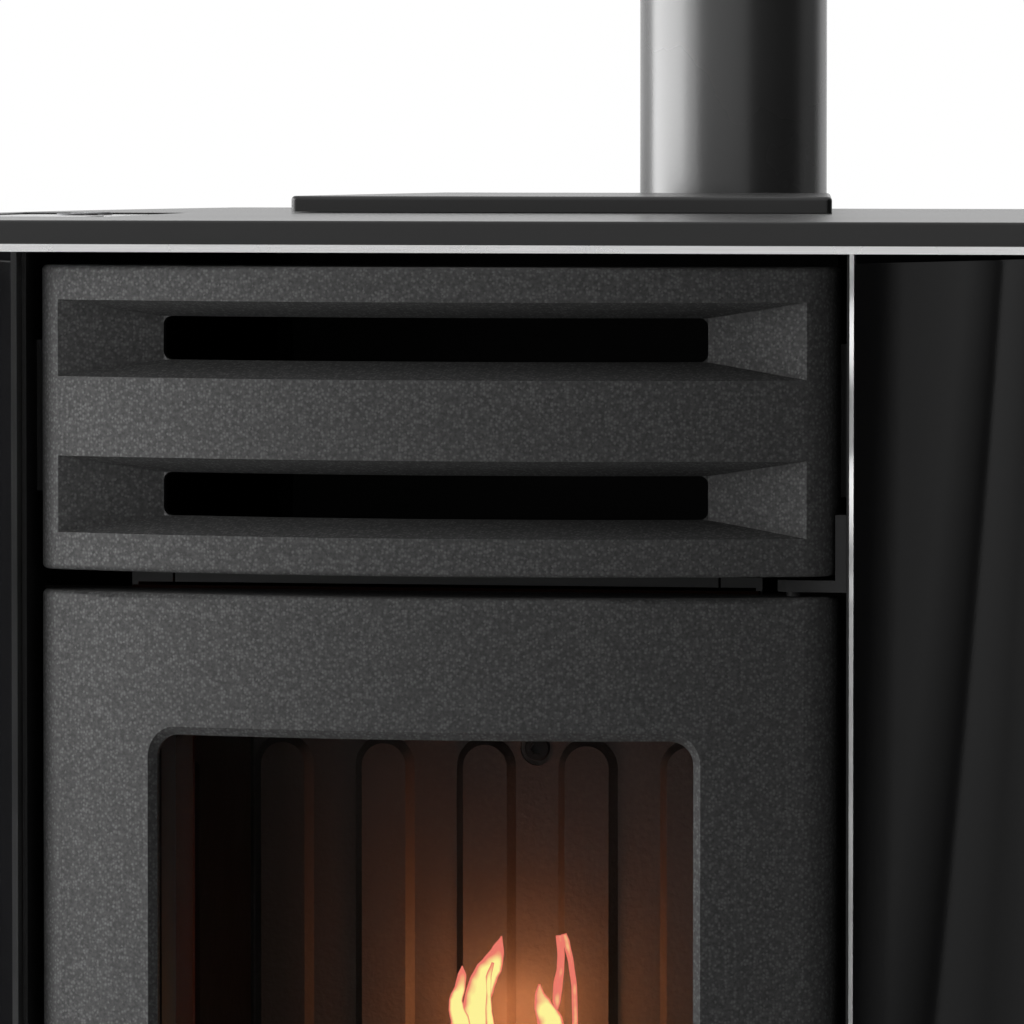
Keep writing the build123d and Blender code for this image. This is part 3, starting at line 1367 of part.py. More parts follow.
with BuildPart() as air_intake_pipe:
    swage_start = intake_end - intake_end_length
    rod_along_y(intake_radius, intake_x, (shell_back + face_gap, swage_start), intake_height)
    rod_along_y(intake_radius - intake_end_swage, intake_x, (swage_start, intake_end), intake_height)
    rod_along_y(intake_radius - intake_wall, intake_x, (shell_back - 1, intake_end + 1), intake_height,
                Mode.SUBTRACT)
air_intake_pipe.part.label = "air_intake_pipe"
export_step(air_intake_pipe.part, "parts/air_intake_pipe.step")

housing_x = (-room_housing_half_width, room_housing_half_width)
housing_depth = (room_fan_depth - room_housing_half_depth, room_fan_depth + room_housing_half_depth)
housing_z = (room_fan_height - room_housing_half_height, room_fan_height + room_housing_half_height)

with BuildPart() as room_fan_housing:
    block(housing_x, housing_depth, housing_z)
    block((housing_x[0] + sheet, housing_x[1] - sheet), (housing_depth[0] + sheet, housing_depth[1] - sheet),
          (housing_z[0] + sheet, housing_z[1] - sheet), Mode.SUBTRACT)
    block((housing_x[0] + 6, housing_x[1] - 6), (housing_depth[0] + 6, room_fan_depth - 6),
          (housing_z[1] - 5, housing_z[1] + 1), Mode.SUBTRACT)
    block((housing_x[0] + 6, housing_x[1] - 6), (housing_depth[1] - 5, housing_depth[1] + 1),
          (housing_z[0] + 12, housing_z[1] - 12), Mode.SUBTRACT)
    rod_along_x(room_fan_shaft_radius + 2, (housing_x[1] - 5, housing_x[1] + 1), room_fan_depth,
                room_fan_height,
                Mode.SUBTRACT)
    for x in (-100, 100):
        block((x - 10, x + 10), (room_fan_depth - 20, room_fan_depth + 20),
              (frame_bottom + base_sheet + face_gap, housing_z[0]))
room_fan_housing.part.label = "room_fan_housing"
export_step(room_fan_housing.part, "parts/room_fan_housing.step")

with BuildPart() as room_fan_wheel:
    wheel_x = (-room_fan_half_width, room_fan_half_width)
    for x in (wheel_x[0], -1, wheel_x[1] - 2):
        rod_along_x(room_fan_radius, (x, x + 2), room_fan_depth, room_fan_height)
    wheel_end = (wheel_x[0], y_at(room_fan_depth), room_fan_height)
    with BuildSketch(Plane(wheel_end, x_dir=(0, 1, 0), z_dir=(1, 0, 0))):
        with PolarLocations(room_fan_radius - 5, room_fan_blades):
            Rectangle(8, 1.2, rotation=25)
    extrude(amount=wheel_x[1] - wheel_x[0])
    rod_along_x(room_fan_shaft_radius, (wheel_x[1] - 2, housing_x[1] + face_gap + 22), room_fan_depth,
                room_fan_height)
room_fan_wheel.part.label = "room_fan_wheel"
export_step(room_fan_wheel.part, "parts/room_fan_wheel.step")

with BuildPart() as room_fan_motor:
    motor_x = (housing_x[1] + face_gap, housing_x[1] + face_gap + room_motor_length)
    rod_along_x(room_motor_radius, motor_x, room_fan_depth, room_fan_height)
    fillet(room_fan_motor.edges().group_by(Axis.X)[-1], 4)
    rod_along_x(room_fan_shaft_radius + shaft_gap, (motor_x[0] - 1, motor_x[0] + 25), room_fan_depth,
                room_fan_height, Mode.SUBTRACT)
room_fan_motor.part.label = "room_fan_motor"
export_step(room_fan_motor.part, "parts/room_fan_motor.step")

outside = rear_back + 0.1

with BuildPart() as power_inlet:
    half = (inlet_width / 2 - face_gap, inlet_tall / 2 - face_gap)
    block((inlet_x - half[0], inlet_x + half[0]), (rear_front - 22, outside),
          (inlet_height - half[1], inlet_height + half[1]))
    block((switch_x - switch_half[0] + face_gap, switch_x + switch_half[0] - face_gap),
          (rear_front - 14, outside),
          (inlet_height - switch_half[1] + face_gap, inlet_height + switch_half[1] - face_gap))
    block((inlet_x - half[0] - 3, switch_x + switch_half[0] + 3), (outside, outside + 2.2),
          (inlet_height - half[1] - 4, inlet_height + half[1] + 4))
    fillet(power_inlet.edges().filter_by(Axis.Y).group_by(SortBy.LENGTH)[0], 2.5)
    block((inlet_x - half[0] + 11, inlet_x + half[0] - 11), (rear_front - 14, outside + 3),
          (inlet_height - half[1] + 4, inlet_height + half[1] - 4), Mode.SUBTRACT)
    for x in (-7, 0, 7):
        block((inlet_x + x - 1, inlet_x + x + 1), (rear_front - 14, rear_front - 1),
              (inlet_height - 2, inlet_height + 2))
    block((switch_x - rocker_width / 2 - 0.4, switch_x + rocker_width / 2 + 0.4),
          (rear_front - 12, outside + 3),
          (inlet_height - rocker_tall / 2 - 0.6, inlet_height + rocker_tall / 2 + 0.6), Mode.SUBTRACT)
    axle_half = rocker_width / 2 + rocker_axle_reach
    rod_along_x(rocker_axle_radius + shaft_gap, (switch_x - axle_half - 0.2, switch_x + axle_half + 0.2),
                rear_front,
                inlet_height, Mode.SUBTRACT)
power_inlet.part.label = "power_inlet"
export_step(power_inlet.part, "parts/power_inlet.step")

rocker_pivot = (switch_x, y_at(rear_front), inlet_height)

with BuildPart() as upright_rocker:
    with BuildSketch(Plane((switch_x - rocker_width / 2, rocker_pivot[1], inlet_height), x_dir=(0, 1, 0),
                           z_dir=(1, 0, 0))):
        with BuildLine():
            Polyline((-7, -4), (3.2, -rocker_tall / 2 + 0.6), (5.4, -rocker_tall / 2 + 0.6), (3.8, 0),
                     (5.4, rocker_tall / 2 - 0.6), (3.2, rocker_tall / 2 - 0.6), (-7, 4), close=True)
        make_face()
    extrude(amount=rocker_width)
    rod_along_x(rocker_axle_radius, (switch_x - axle_half, switch_x + axle_half), rear_front, inlet_height)
main_switch = upright_rocker.part.rotate(Axis(rocker_pivot, (1, 0, 0)), -rocker_tilt)
main_switch.label = "main_switch"
export_step(main_switch, "parts/main_switch.step")

screw_low = frame_bottom + case_screw_end_gap
screw_step = (frame_top - case_screw_end_gap - screw_low) / (case_screw_rows - 1)

with BuildPart() as case_screws:
    for x in (case_screw_inset - rear_half_width, rear_half_width - case_screw_inset):
        for row in range(case_screw_rows):
            rod_along_y(screw_head_radius, x, (outside, outside + screw_head), screw_low + row * screw_step)
    fillet(case_screws.edges().group_by(Axis.Y)[-1], 0.9)
case_screws.part.label = "case_screws"
export_step(case_screws.part, "parts/case_screws.step")
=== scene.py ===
"""Looks of the pellet stove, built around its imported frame. Metres, X right, Y back, Z up."""

import json
import math
import random

import bmesh
import bpy
from mathutils import Matrix, Vector


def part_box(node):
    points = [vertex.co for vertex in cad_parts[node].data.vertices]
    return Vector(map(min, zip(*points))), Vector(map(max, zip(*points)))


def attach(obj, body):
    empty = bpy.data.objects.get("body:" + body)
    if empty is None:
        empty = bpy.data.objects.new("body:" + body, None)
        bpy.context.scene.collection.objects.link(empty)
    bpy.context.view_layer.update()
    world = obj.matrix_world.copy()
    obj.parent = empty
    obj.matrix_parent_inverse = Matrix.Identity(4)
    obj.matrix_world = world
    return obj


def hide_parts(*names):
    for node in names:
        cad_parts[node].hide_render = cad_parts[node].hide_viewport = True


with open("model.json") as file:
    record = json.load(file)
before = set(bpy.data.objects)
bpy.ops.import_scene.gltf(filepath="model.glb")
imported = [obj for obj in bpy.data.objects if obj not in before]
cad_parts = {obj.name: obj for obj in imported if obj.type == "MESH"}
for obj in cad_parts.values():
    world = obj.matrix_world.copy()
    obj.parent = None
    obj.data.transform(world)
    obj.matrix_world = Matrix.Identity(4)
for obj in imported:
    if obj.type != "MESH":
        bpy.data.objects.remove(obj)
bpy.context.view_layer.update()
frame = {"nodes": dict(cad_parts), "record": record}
nodes = frame["nodes"]


def in_own_frame(name, corner):
    """A corner of a node's box in that node's own coordinates, as its material sees them."""
    return nodes[name].matrix_world.inverted() @ corner


MM = 0.001
BACK = Vector((0, 1, 0))
SLAB_TOP = 1.040
SLAB_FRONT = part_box("top_slab")[0].y
POT_LOW, POT_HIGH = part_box("burn_pot")
POT_MIDDLE_Y = (POT_LOW.y + POT_HIGH.y) / 2
PLATE_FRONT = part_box("firebox_back_plate")[0].y
SHELL_FRONT = in_own_frame("firebox_shell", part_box("firebox_shell")[0]).y
PANEL_GAP = 0.0045
# Height above which the side panels lose their gloss, as painted shade under the trim.
PANEL_LIP = in_own_frame("right_side_panel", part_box("right_side_panel")[1]).z - PANEL_GAP

# Linear colours that several finishes share.
WHITE = (1, 1, 1, 1)
BLACK = (0.0, 0.0, 0.0, 1)
# Near black that is painted into the firebox metal as shade.
PAINTED_SHADE_BLACK = (0.003, 0.0024, 0.0022, 1)
THIN_ASH = (0.2, 0.19, 0.17, 1)
ASH = (0.25, 0.24, 0.22, 1)
THICK_ASH = (0.3, 0.28, 0.25, 1)
FIREBOX_IRON = (0.05, 0.04, 0.036)
FIRE_ORANGE = (1.0, 0.36, 0.13)
FLOOR_GREY = (0.82, 0.82, 0.82)


# ---------------------------------------------------------------- node helpers


def feed(tree, inputs, values):
    """Feeds a node's inputs: a socket is linked, anything else is set on the input itself."""
    for key, value in values.items():
        if isinstance(value, bpy.types.NodeSocket):
            tree.links.new(value, inputs[key])
        else:
            inputs[key].default_value = value


def place(tree, kind, values=None, **settings):
    """Adds a shader node with its settings, and feeds its inputs."""
    node = tree.nodes.new(kind)
    for name, value in settings.items():
        setattr(node, name, value)
    feed(tree, node.inputs, values or {})
    return node


def blend_colours(tree, mask, first, second):
    """Colour that goes from first to second where the mask goes from 0 to 1."""
    # The Mix node repeats its sockets' names for each kind of value, so colours go by number.
    return place(tree, "ShaderNodeMix", {0: mask, 6: first, 7: second}, data_type="RGBA").outputs[2]


def spread(tree, value, low, high, new_low, new_high):
    """Maps low..high to new_low..new_high, held at the ends."""
    limits = {"From Min": low, "From Max": high, "To Min": new_low, "To Max": new_high}
    return place(tree, "ShaderNodeMapRange", {"Value": value, **limits}).outputs[0]


def work_out(tree, operation, first, second):
    """One step of arithmetic."""
    return place(tree, "ShaderNodeMath", {0: first, 1: second}, operation=operation).outputs[0]


def vector_step(tree, operation, values):
    """One step of vector arithmetic: its outputs."""
    return place(tree, "ShaderNodeVectorMath", values, operation=operation).outputs


def noise(tree, vector, scale, detail, roughness=0.5):
    """Fractal noise between 0 and 1."""
    values = {"Vector": vector, "Scale": scale, "Detail": detail, "Roughness": roughness}
    return place(tree, "ShaderNodeTexNoise", values).outputs[0]


def own_coordinates(tree):
    """Where a point lies in its piece's own frame, in metres."""
    return place(tree, "ShaderNodeTexCoord").outputs["Object"]


def along_own(tree, axis):
    """Where a point lies along one axis of its piece's own frame."""
    return place(tree, "ShaderNodeSeparateXYZ", {0: own_coordinates(tree)}).outputs[axis]


def grey(level):
    return (level, level, level, 1.0)


def tinted(colour, factor):
    """A colour made darker or lighter, opaque."""
    return tuple(min(1, factor * c) for c in colour) + (1,)


# ---------------------------------------------------------------- shared effects


def new_effect(name, inputs, outputs):
    """An empty node group with named sockets, its input node and its output node."""
    group = bpy.data.node_groups.new(name, "ShaderNodeTree")
    for socket_name, kind, value in inputs:
        made = group.interface.new_socket(socket_name, in_out="INPUT", socket_type=kind)
        made.default_value = value
    for socket_name, kind in outputs:
        group.interface.new_socket(socket_name, in_out="OUTPUT", socket_type=kind)
    entry = group.nodes.new("NodeGroupInput")
    result = group.nodes.new("NodeGroupOutput")
    return group, entry, result


def make_fleck():
    """Metallic grains in stove paint: which shine, how each one leans, and the coat's relief."""
    group, entry, result = new_effect(
        "fleck",
        [
            ("Grain Scale", "NodeSocketFloat", 520.0),
            ("Share", "NodeSocketFloat", 0.25),
            ("Lean", "NodeSocketFloat", 0.6),
        ],
        [
            ("Grains", "NodeSocketFloat"),
            ("Height", "NodeSocketFloat"),
            ("Normal", "NodeSocketVector"),
        ],
    )
    coords = own_coordinates(group)
    scale = entry.outputs["Grain Scale"]
    cells = place(group, "ShaderNodeTexVoronoi", {"Vector": coords, "Scale": scale}, feature="F1")
    chance = place(group, "ShaderNodeSeparateColor", {0: cells.outputs["Color"]}).outputs[0]
    lit = work_out(group, "LESS_THAN", chance, entry.outputs["Share"])
    core = spread(group, cells.outputs["Distance"], 0.1, 0.75, 1.0, 0.0)
    grains = work_out(group, "MULTIPLY", lit, core)
    centred = vector_step(group, "SUBTRACT", {0: cells.outputs["Color"], 1: (0.5, 0.5, 0.5)})[0]
    how_far = work_out(group, "MULTIPLY", grains, entry.outputs["Lean"])
    lean = vector_step(group, "SCALE", {0: centred, "Scale": how_far})[0]
    flat = place(group, "ShaderNodeNewGeometry").outputs["Normal"]
    leaned = vector_step(group, "ADD", {0: flat, 1: lean})[0]
    values = {
        "Grains": grains,
        "Height": noise(group, coords, work_out(group, "MULTIPLY", scale, 0.8), 2.0),
        "Normal": vector_step(group, "NORMALIZE", {0: leaned})[0],
    }
    feed(group, result.inputs, values)
    return group


def make_blotch():
    """Slow, cloudy variation over a surface."""
    group, entry, result = new_effect(
        "blotch",
        [("Cloud Scale", "NodeSocketFloat", 6.0), ("Contrast", "NodeSocketFloat", 1.0)],
        [("Clouds", "NodeSocketFloat")],
    )
    clouds = noise(group, own_coordinates(group), entry.outputs["Cloud Scale"], 5.0, 0.55)
    centred = work_out(group, "SUBTRACT", clouds, 0.5)
    scaled = work_out(group, "MULTIPLY", centred, entry.outputs["Contrast"])
    feed(group, result.inputs, {"Clouds": work_out(group, "ADD", scaled, 0.5)})
    return group


def make_edge_wear():
    """Mask of the outer edges, broken up where paint has rubbed thin."""
    group, entry, result = new_effect(
        "edge_wear",
        [("Reach", "NodeSocketFloat", 0.0012), ("Break Scale", "NodeSocketFloat", 90.0)],
        [("Edges", "NodeSocketFloat")],
    )
    bevel = place(group, "ShaderNodeBevel", {"Radius": entry.outputs["Reach"]}, samples=4)
    flat = place(group, "ShaderNodeNewGeometry").outputs["True Normal"]
    turn = vector_step(group, "DOT_PRODUCT", {0: bevel.outputs[0], 1: flat})["Value"]
    edge = spread(group, turn, 0.80, 0.98, 1.0, 0.0)
    patches = noise(group, own_coordinates(group), entry.outputs["Break Scale"], 4.0)
    broken = spread(group, patches, 0.42, 0.62, 0.0, 1.0)
    feed(group, result.inputs, {"Edges": work_out(group, "MULTIPLY", edge, broken)})
    return group


def make_brushing():
    """Fine lines left by drawing or brushing metal along one direction."""
    group, entry, result = new_effect(
        "brushing",
        [("Line Scale", "NodeSocketVector", (40.0, 900.0, 900.0))],
        [("Lines", "NodeSocketFloat")],
    )
    scales = {0: own_coordinates(group), 1: entry.outputs["Line Scale"]}
    stretched = vector_step(group, "MULTIPLY", scales)[0]
    feed(group, result.inputs, {"Lines": noise(group, stretched, 1.0, 2.0, 0.6)})
    return group


def make_dust():
    """Pale dust that settles on faces that look up."""
    group, entry, result = new_effect(
        "dust",
        [("Amount", "NodeSocketFloat", 0.3)],
        [("Settled", "NodeSocketFloat")],
    )
    normal = place(group, "ShaderNodeNewGeometry").outputs["Normal"]
    upward = place(group, "ShaderNodeSeparateXYZ", {0: normal}).outputs["Z"]
    lying = spread(group, upward, 0.6, 1.0, 0.0, 1.0)
    patches = spread(group, noise(group, own_coordinates(group), 55.0, 6.0), 0.35, 0.7, 0.0, 1.0)
    settled = work_out(group, "MULTIPLY", lying, patches)
    dusted = work_out(group, "MULTIPLY", settled, entry.outputs["Amount"])
    feed(group, result.inputs, {"Settled": dusted})
    return group


EFFECTS = {
    "fleck": make_fleck(),
    "blotch": make_blotch(),
    "edge_wear": make_edge_wear(),
    "brushing": make_brushing(),
    "dust": make_dust(),
}


def effect(tree, name, **values):
    """Places one of the shared effects with its own values: its outputs."""
    node = tree.nodes.new("ShaderNodeGroup")
    node.node_tree = EFFECTS[name]
    for key, value in values.items():
        node.inputs[key.replace("_", " ")].default_value = value
    return node.outputs


def new_material(name):
    """A material, its node tree and the Principled shader in it."""
    made = bpy.data.materials.new(name)
    made.use_nodes = True
    return made, made.node_tree, made.node_tree.nodes["Principled BSDF"]


def over_clouds(tree, clouds, least, most):
    """A value that drifts from least to most with the slow clouds."""
    return spread(tree, clouds, 0.2, 0.8, least, most)


def bump_from(tree, height, depth, shader, normal=None):
    """Relief of a depth in metres, over a normal that already leans where one is given."""
    bump = place(tree, "ShaderNodeBump", {"Height": height, "Distance": depth, "Strength": 1.0})
    if normal is not None:
        feed(tree, bump.inputs, {"Normal": normal})
    feed(tree, shader.inputs, {"Normal": bump.outputs[0]})


# ---------------------------------------------------------------- finishes


def flecked_paint(name, dark, light, grain, roughness, bump, share, lean):
    """Dark grey stove paint with leaning metallic grains, rubbed a little along its edges."""
    made, tree, shader = new_material(name)
    fleck = effect(tree, "fleck", Grain_Scale=grain, Share=share, Lean=lean)
    clouds = effect(tree, "blotch", Cloud_Scale=5.0, Contrast=0.5)[0]
    wear = effect(tree, "edge_wear", Reach=0.0015, Break_Scale=120.0)[0]
    mottle = spread(tree, fleck["Height"], 0.32, 0.68, 0.0, 1.0)
    slow = work_out(tree, "MULTIPLY", clouds, 0.25)
    fine = work_out(tree, "MULTIPLY", mottle, 0.75)
    shade = work_out(tree, "ADD", slow, fine)
    shaded = blend_colours(tree, shade, grey(dark * 0.6), grey(dark * 1.4))
    grained = blend_colours(tree, fleck["Grains"], shaded, grey(light))
    rubbed = work_out(tree, "MULTIPLY", wear, 0.2)
    coarse = over_clouds(tree, clouds, roughness - 0.04, roughness + 0.06)
    polish = work_out(tree, "MULTIPLY", fleck["Grains"], 0.12)
    values = {
        "Base Color": blend_colours(tree, rubbed, grained, grey(light)),
        "Metallic": work_out(tree, "MULTIPLY", fleck["Grains"], 0.2),
        "Roughness": work_out(tree, "SUBTRACT", coarse, polish),
        "Specular IOR Level": 0.24,
    }
    feed(tree, shader.inputs, values)
    bump_from(tree, fleck["Height"], bump, shader, fleck["Normal"])
    return made


def enamel(
    name, colour, roughness, specular, cloud_scale, bump, coat=0.0, grain=700.0, matt_shade_above=None
):
    """Smooth enamel with slow variation in its gloss; above a height, if one is given, the gloss is
    switched off to paint shade there.
    """
    made, tree, shader = new_material(name)
    clouds = effect(tree, "blotch", Cloud_Scale=cloud_scale, Contrast=0.8)[0]
    values = {
        "Base Color": blend_colours(tree, clouds, tinted(colour, 0.85), tinted(colour, 1.15)),
        "Roughness": over_clouds(tree, clouds, roughness * 0.8, roughness * 1.25),
        "Specular IOR Level": specular,
        "Coat Weight": coat,
        "Coat Roughness": 0.27,
    }
    feed(tree, shader.inputs, values)
    # Painted shade: no gloss above the given height, so the top of the panel stays dark.
    if matt_shade_above is not None:
        height = along_own(tree, "Z")
        gloss = spread(tree, height, matt_shade_above, matt_shade_above + 0.0002, specular, 0.0)
        feed(tree, shader.inputs, {"Specular IOR Level": gloss})
    if bump:
        fine = effect(tree, "fleck", Grain_Scale=grain, Share=0.2, Lean=0.0)
        bump_from(tree, fine["Height"], bump, shader)
    return made


def metal(name, colour, roughness, lines, bump=0.00002):
    """Brushed or drawn metal with fine lines along one direction."""
    made, tree, shader = new_material(name)
    brushed = effect(tree, "brushing", Line_Scale=lines)[0]
    clouds = effect(tree, "blotch", Cloud_Scale=14.0, Contrast=0.9)[0]
    values = {
        "Base Color": blend_colours(tree, brushed, tinted(colour, 0.88), tinted(colour, 1.12)),
        "Roughness": over_clouds(tree, clouds, roughness * 0.8, roughness * 1.3),
        "Metallic": 1.0,
    }
    feed(tree, shader.inputs, values)
    bump_from(tree, brushed, bump, shader)
    return made


def moulded(name, colour, roughness, grain=900.0, bump=0.00004):
    """Moulded plastic or rubber with a fine spark-eroded grain."""
    made, tree, shader = new_material(name)
    fleck = effect(tree, "fleck", Grain_Scale=grain, Share=0.3)
    clouds = effect(tree, "blotch", Cloud_Scale=20.0, Contrast=0.6)[0]
    values = {
        "Base Color": blend_colours(tree, clouds, tinted(colour, 0.85), tinted(colour, 1.2)),
        "Roughness": over_clouds(tree, clouds, roughness - 0.05, roughness + 0.08),
    }
    feed(tree, shader.inputs, values)
    bump_from(tree, fleck["Height"], bump, shader)
    return made


def fire_worn(name, colour, ash, roughness, grain, bump, dust, specular=0.3, painted_shade=None):
    """Bare metal inside the firebox: sooty, coarse, with pale ash on its upper faces.

    The optional argument after specular names an axis, the place along it where the darkest painted
    shade ends, and where the metal is unshaded; there a near-black colour is painted in as shade.
    """
    made, tree, shader = new_material(name)
    fleck = effect(tree, "fleck", Grain_Scale=grain, Share=0.35)
    clouds = effect(tree, "blotch", Cloud_Scale=11.0, Contrast=1.4)[0]
    settled = effect(tree, "dust", Amount=dust)[0]
    lighter = tinted(colour, 1.25)
    burnt = blend_colours(tree, clouds, tinted(colour, 0.7), lighter)
    some_grains = work_out(tree, "MULTIPLY", fleck["Grains"], 0.5)
    grained = blend_colours(tree, some_grains, burnt, lighter)
    # Painted shade: near black laid into the colour along one axis, where the metal stands in
    # shade.
    if painted_shade:
        axis, darkest_at, unshaded_at = painted_shade
        painted_dark = spread(tree, along_own(tree, axis), darkest_at, unshaded_at, 0.75, 0.0)
        grained = blend_colours(tree, painted_dark, grained, PAINTED_SHADE_BLACK)
    values = {
        "Base Color": blend_colours(tree, settled, grained, ash),
        "Roughness": over_clouds(tree, clouds, roughness - 0.08, roughness + 0.1),
        "Specular IOR Level": specular,
    }
    feed(tree, shader.inputs, values)
    bump_from(tree, fleck["Height"], bump, shader)
    return made


def shell_with_painted_light(front):
    """The firebox shell: its front edge, seen in the gap above the door, is painted pale grey as
    painted light for the front light that falls there; sooty behind.
    """
    made, tree, shader = new_material("shell_with_painted_light")
    fleck = effect(tree, "fleck", Grain_Scale=520.0, Share=0.3)
    clouds = effect(tree, "blotch", Cloud_Scale=11.0, Contrast=1.0)[0]
    behind = spread(tree, along_own(tree, "Y"), front + 0.0005, front + 0.002, 0.0, 1.0)
    sooty = blend_colours(tree, clouds, (0.006, 0.0052, 0.0048, 1), (0.011, 0.009, 0.008, 1))
    values = {
        # The pale grey front edge is painted light; the sooty colour behind it is the shell's own.
        "Base Color": blend_colours(tree, behind, grey(0.13), sooty),
        "Roughness": over_clouds(tree, clouds, 0.62, 0.8),
        "Specular IOR Level": 0.12,
    }
    feed(tree, shader.inputs, values)
    bump_from(tree, fleck["Height"], 0.0001, shader)
    return made


def clear_ceramic_glass():
    """Thin, hardly reflecting glass ceramic with a sooty breath in its gloss."""
    made, tree, shader = new_material("clear_ceramic_glass")
    clouds = effect(tree, "blotch", Cloud_Scale=7.0, Contrast=1.0)[0]
    values = {
        "Base Color": (0.98, 0.98, 0.97, 1),
        "Roughness": spread(tree, clouds, 0.3, 0.8, 0.0, 0.02),
        "Transmission Weight": 1.0,
        "IOR": 1.05,
    }
    feed(tree, shader.inputs, values)
    return made


def woven_rope():
    """Black braided glass rope."""
    made, tree, shader = new_material("woven_rope")
    fleck = effect(tree, "fleck", Grain_Scale=1400.0, Share=0.4)
    values = {
        "Base Color": blend_colours(tree, fleck["Grains"], grey(0.03), grey(0.12)),
        "Roughness": spread(tree, fleck["Height"], 0.3, 0.7, 0.8, 0.95),
    }
    feed(tree, shader.inputs, values)
    bump_from(tree, fleck["Height"], 0.0002, shader)
    return made


def flame_glow(name, tip):
    """Burning gas: pale yellow inside, pink at its edges and from the height of its tip upwards."""
    made, tree, shader = new_material(name)
    rise = spread(tree, along_own(tree, "Z"), tip, tip + 0.012, 0.0, 1.0)
    rim = place(tree, "ShaderNodeLayerWeight", {"Blend": 0.65}).outputs["Facing"]
    stray = spread(tree, noise(tree, own_coordinates(tree), 90.0, 2.0), 0.3, 0.7, -0.14, 0.14)
    ragged_rim = work_out(tree, "ADD", rim, stray)
    outward = work_out(tree, "ADD", ragged_rim, work_out(tree, "MULTIPLY", rise, 0.4))
    pink = spread(tree, outward, 0.12, 0.42, 0.0, 1.0)
    values = {
        "Base Color": BLACK,
        "Roughness": 1.0,
        "Specular IOR Level": 0.0,
        "Emission Color": blend_colours(tree, pink, (1.0, 0.9, 0.32, 1), (0.84, 0.20, 0.15, 1)),
        "Emission Strength": 1.0,
        "Alpha": spread(tree, rim, 0.75, 1.0, 1.0, 0.1),
    }
    feed(tree, shader.inputs, values)
    return made


def glowing_pellets():
    """Charred pellets with embers between them."""
    made, tree, shader = new_material("glowing_pellets")
    patches = noise(tree, own_coordinates(tree), 130.0, 4.0)
    hot = spread(tree, patches, 0.45, 0.68, 0.0, 1.0)
    values = {
        "Base Color": blend_colours(tree, hot, (0.03, 0.02, 0.015, 1), (0.2, 0.06, 0.02, 1)),
        "Roughness": spread(tree, patches, 0.3, 0.7, 0.95, 0.75),
        "Emission Color": blend_colours(tree, hot, BLACK, (1.0, 0.25, 0.03, 1)),
        "Emission Strength": 2.0,
    }
    feed(tree, shader.inputs, values)
    bump_from(tree, patches, 0.0006, shader)
    return made


# One finish for each material slot of the record.
FINISHES = {
    "cast_iron_paint": flecked_paint(
        "cast_iron_paint", 0.034, 0.075, 700.0, 0.62, 0.00005, share=0.45, lean=0.22
    ),
    "top_paint": enamel(
        "top_paint", (0.009, 0.009, 0.009), 0.6, 0.1, 5.0, 0.00001, coat=0.75, grain=900.0
    ),
    # The side panels' top lip above PANEL_LIP is matt as painted shade under the trim.
    "gloss_black_panel": enamel(
        "gloss_black_panel", (0.005, 0.005, 0.0054), 0.055, 0.3, 5.0, 0.000008, matt_shade_above=PANEL_LIP
    ),
    "bright_metal": metal(
        "bright_metal", (0.90, 0.90, 0.90), 0.26, (30.0, 30.0, 900.0), bump=0.000004
    ),
    "galvanised_sheet": enamel(
        "dark_coated_sheet", (0.01, 0.01, 0.01), 0.55, 0.3, 12.0, 0.00003
    ),
    "black_sheet": enamel(
        "black_stove_paint", (0.014, 0.014, 0.0145), 0.5, 0.3, 10.0, 0.00005
    ),
    "foot_plastic": moulded("foot_plastic", (0.02, 0.02, 0.02), 0.55),
    "panel_plastic": enamel(
        "panel_plastic", (0.012, 0.012, 0.013), 0.12, 0.5, 8.0, 0.0, coat=0.3
    ),
    "button_rubber": moulded("button_rubber", (0.3, 0.3, 0.31), 0.6),
    "hinge_steel": metal("hinge_steel", (0.42, 0.42, 0.43), 0.35, (300.0, 900.0, 60.0)),
    "pan_steel": metal("pan_steel", (0.33, 0.33, 0.34), 0.42, (60.0, 700.0, 700.0)),
    "ceramic_glass": clear_ceramic_glass(),
    "rope_seal": woven_rope(),
    "handle_metal": metal("handle_metal", (0.62, 0.62, 0.61), 0.24, (900.0, 900.0, 50.0)),
    "firebox_steel": fire_worn(
        "firebox_steel", (0.014, 0.012, 0.011), ASH, 0.7, 500.0, 0.0002, 0.25
    ),
    "firebox_cast": fire_worn(
        "firebox_cast", FIREBOX_IRON, THICK_ASH, 0.62, 420.0, 0.0004, 0.4
    ),
    "screw_steel": metal("screw_steel", (0.35, 0.35, 0.35), 0.35, (500.0, 500.0, 500.0)),
    "igniter_ceramic": moulded("igniter_ceramic", (0.6, 0.57, 0.5), 0.7, 600.0, 0.0001),
    "auger_steel": metal("auger_steel", (0.42, 0.42, 0.43), 0.4, (200.0, 400.0, 400.0)),
    "motor_steel": metal("motor_steel", (0.28, 0.28, 0.29), 0.4, (400.0, 60.0, 400.0)),
    "aluminium_blades": metal("fan_aluminium", (0.6, 0.6, 0.61), 0.35, (40.0, 600.0, 600.0)),
    "flue_enamel": enamel("flue_enamel", (0.042, 0.042, 0.042), 0.27, 0.72, 7.0, 0.00003),
    "inlet_plastic": moulded("inlet_plastic", (0.02, 0.02, 0.02), 0.45),
}

STRIP_FINISH = metal("strip_steel", (0.3, 0.3, 0.3), 0.3, (900.0, 900.0, 20.0), bump=0.000004)
LINER_FINISH = fire_worn(
    "sooty_liner", (0.0022, 0.0018, 0.0017), THIN_ASH, 0.7, 420.0, 0.0004, 0.2, 0.06
)
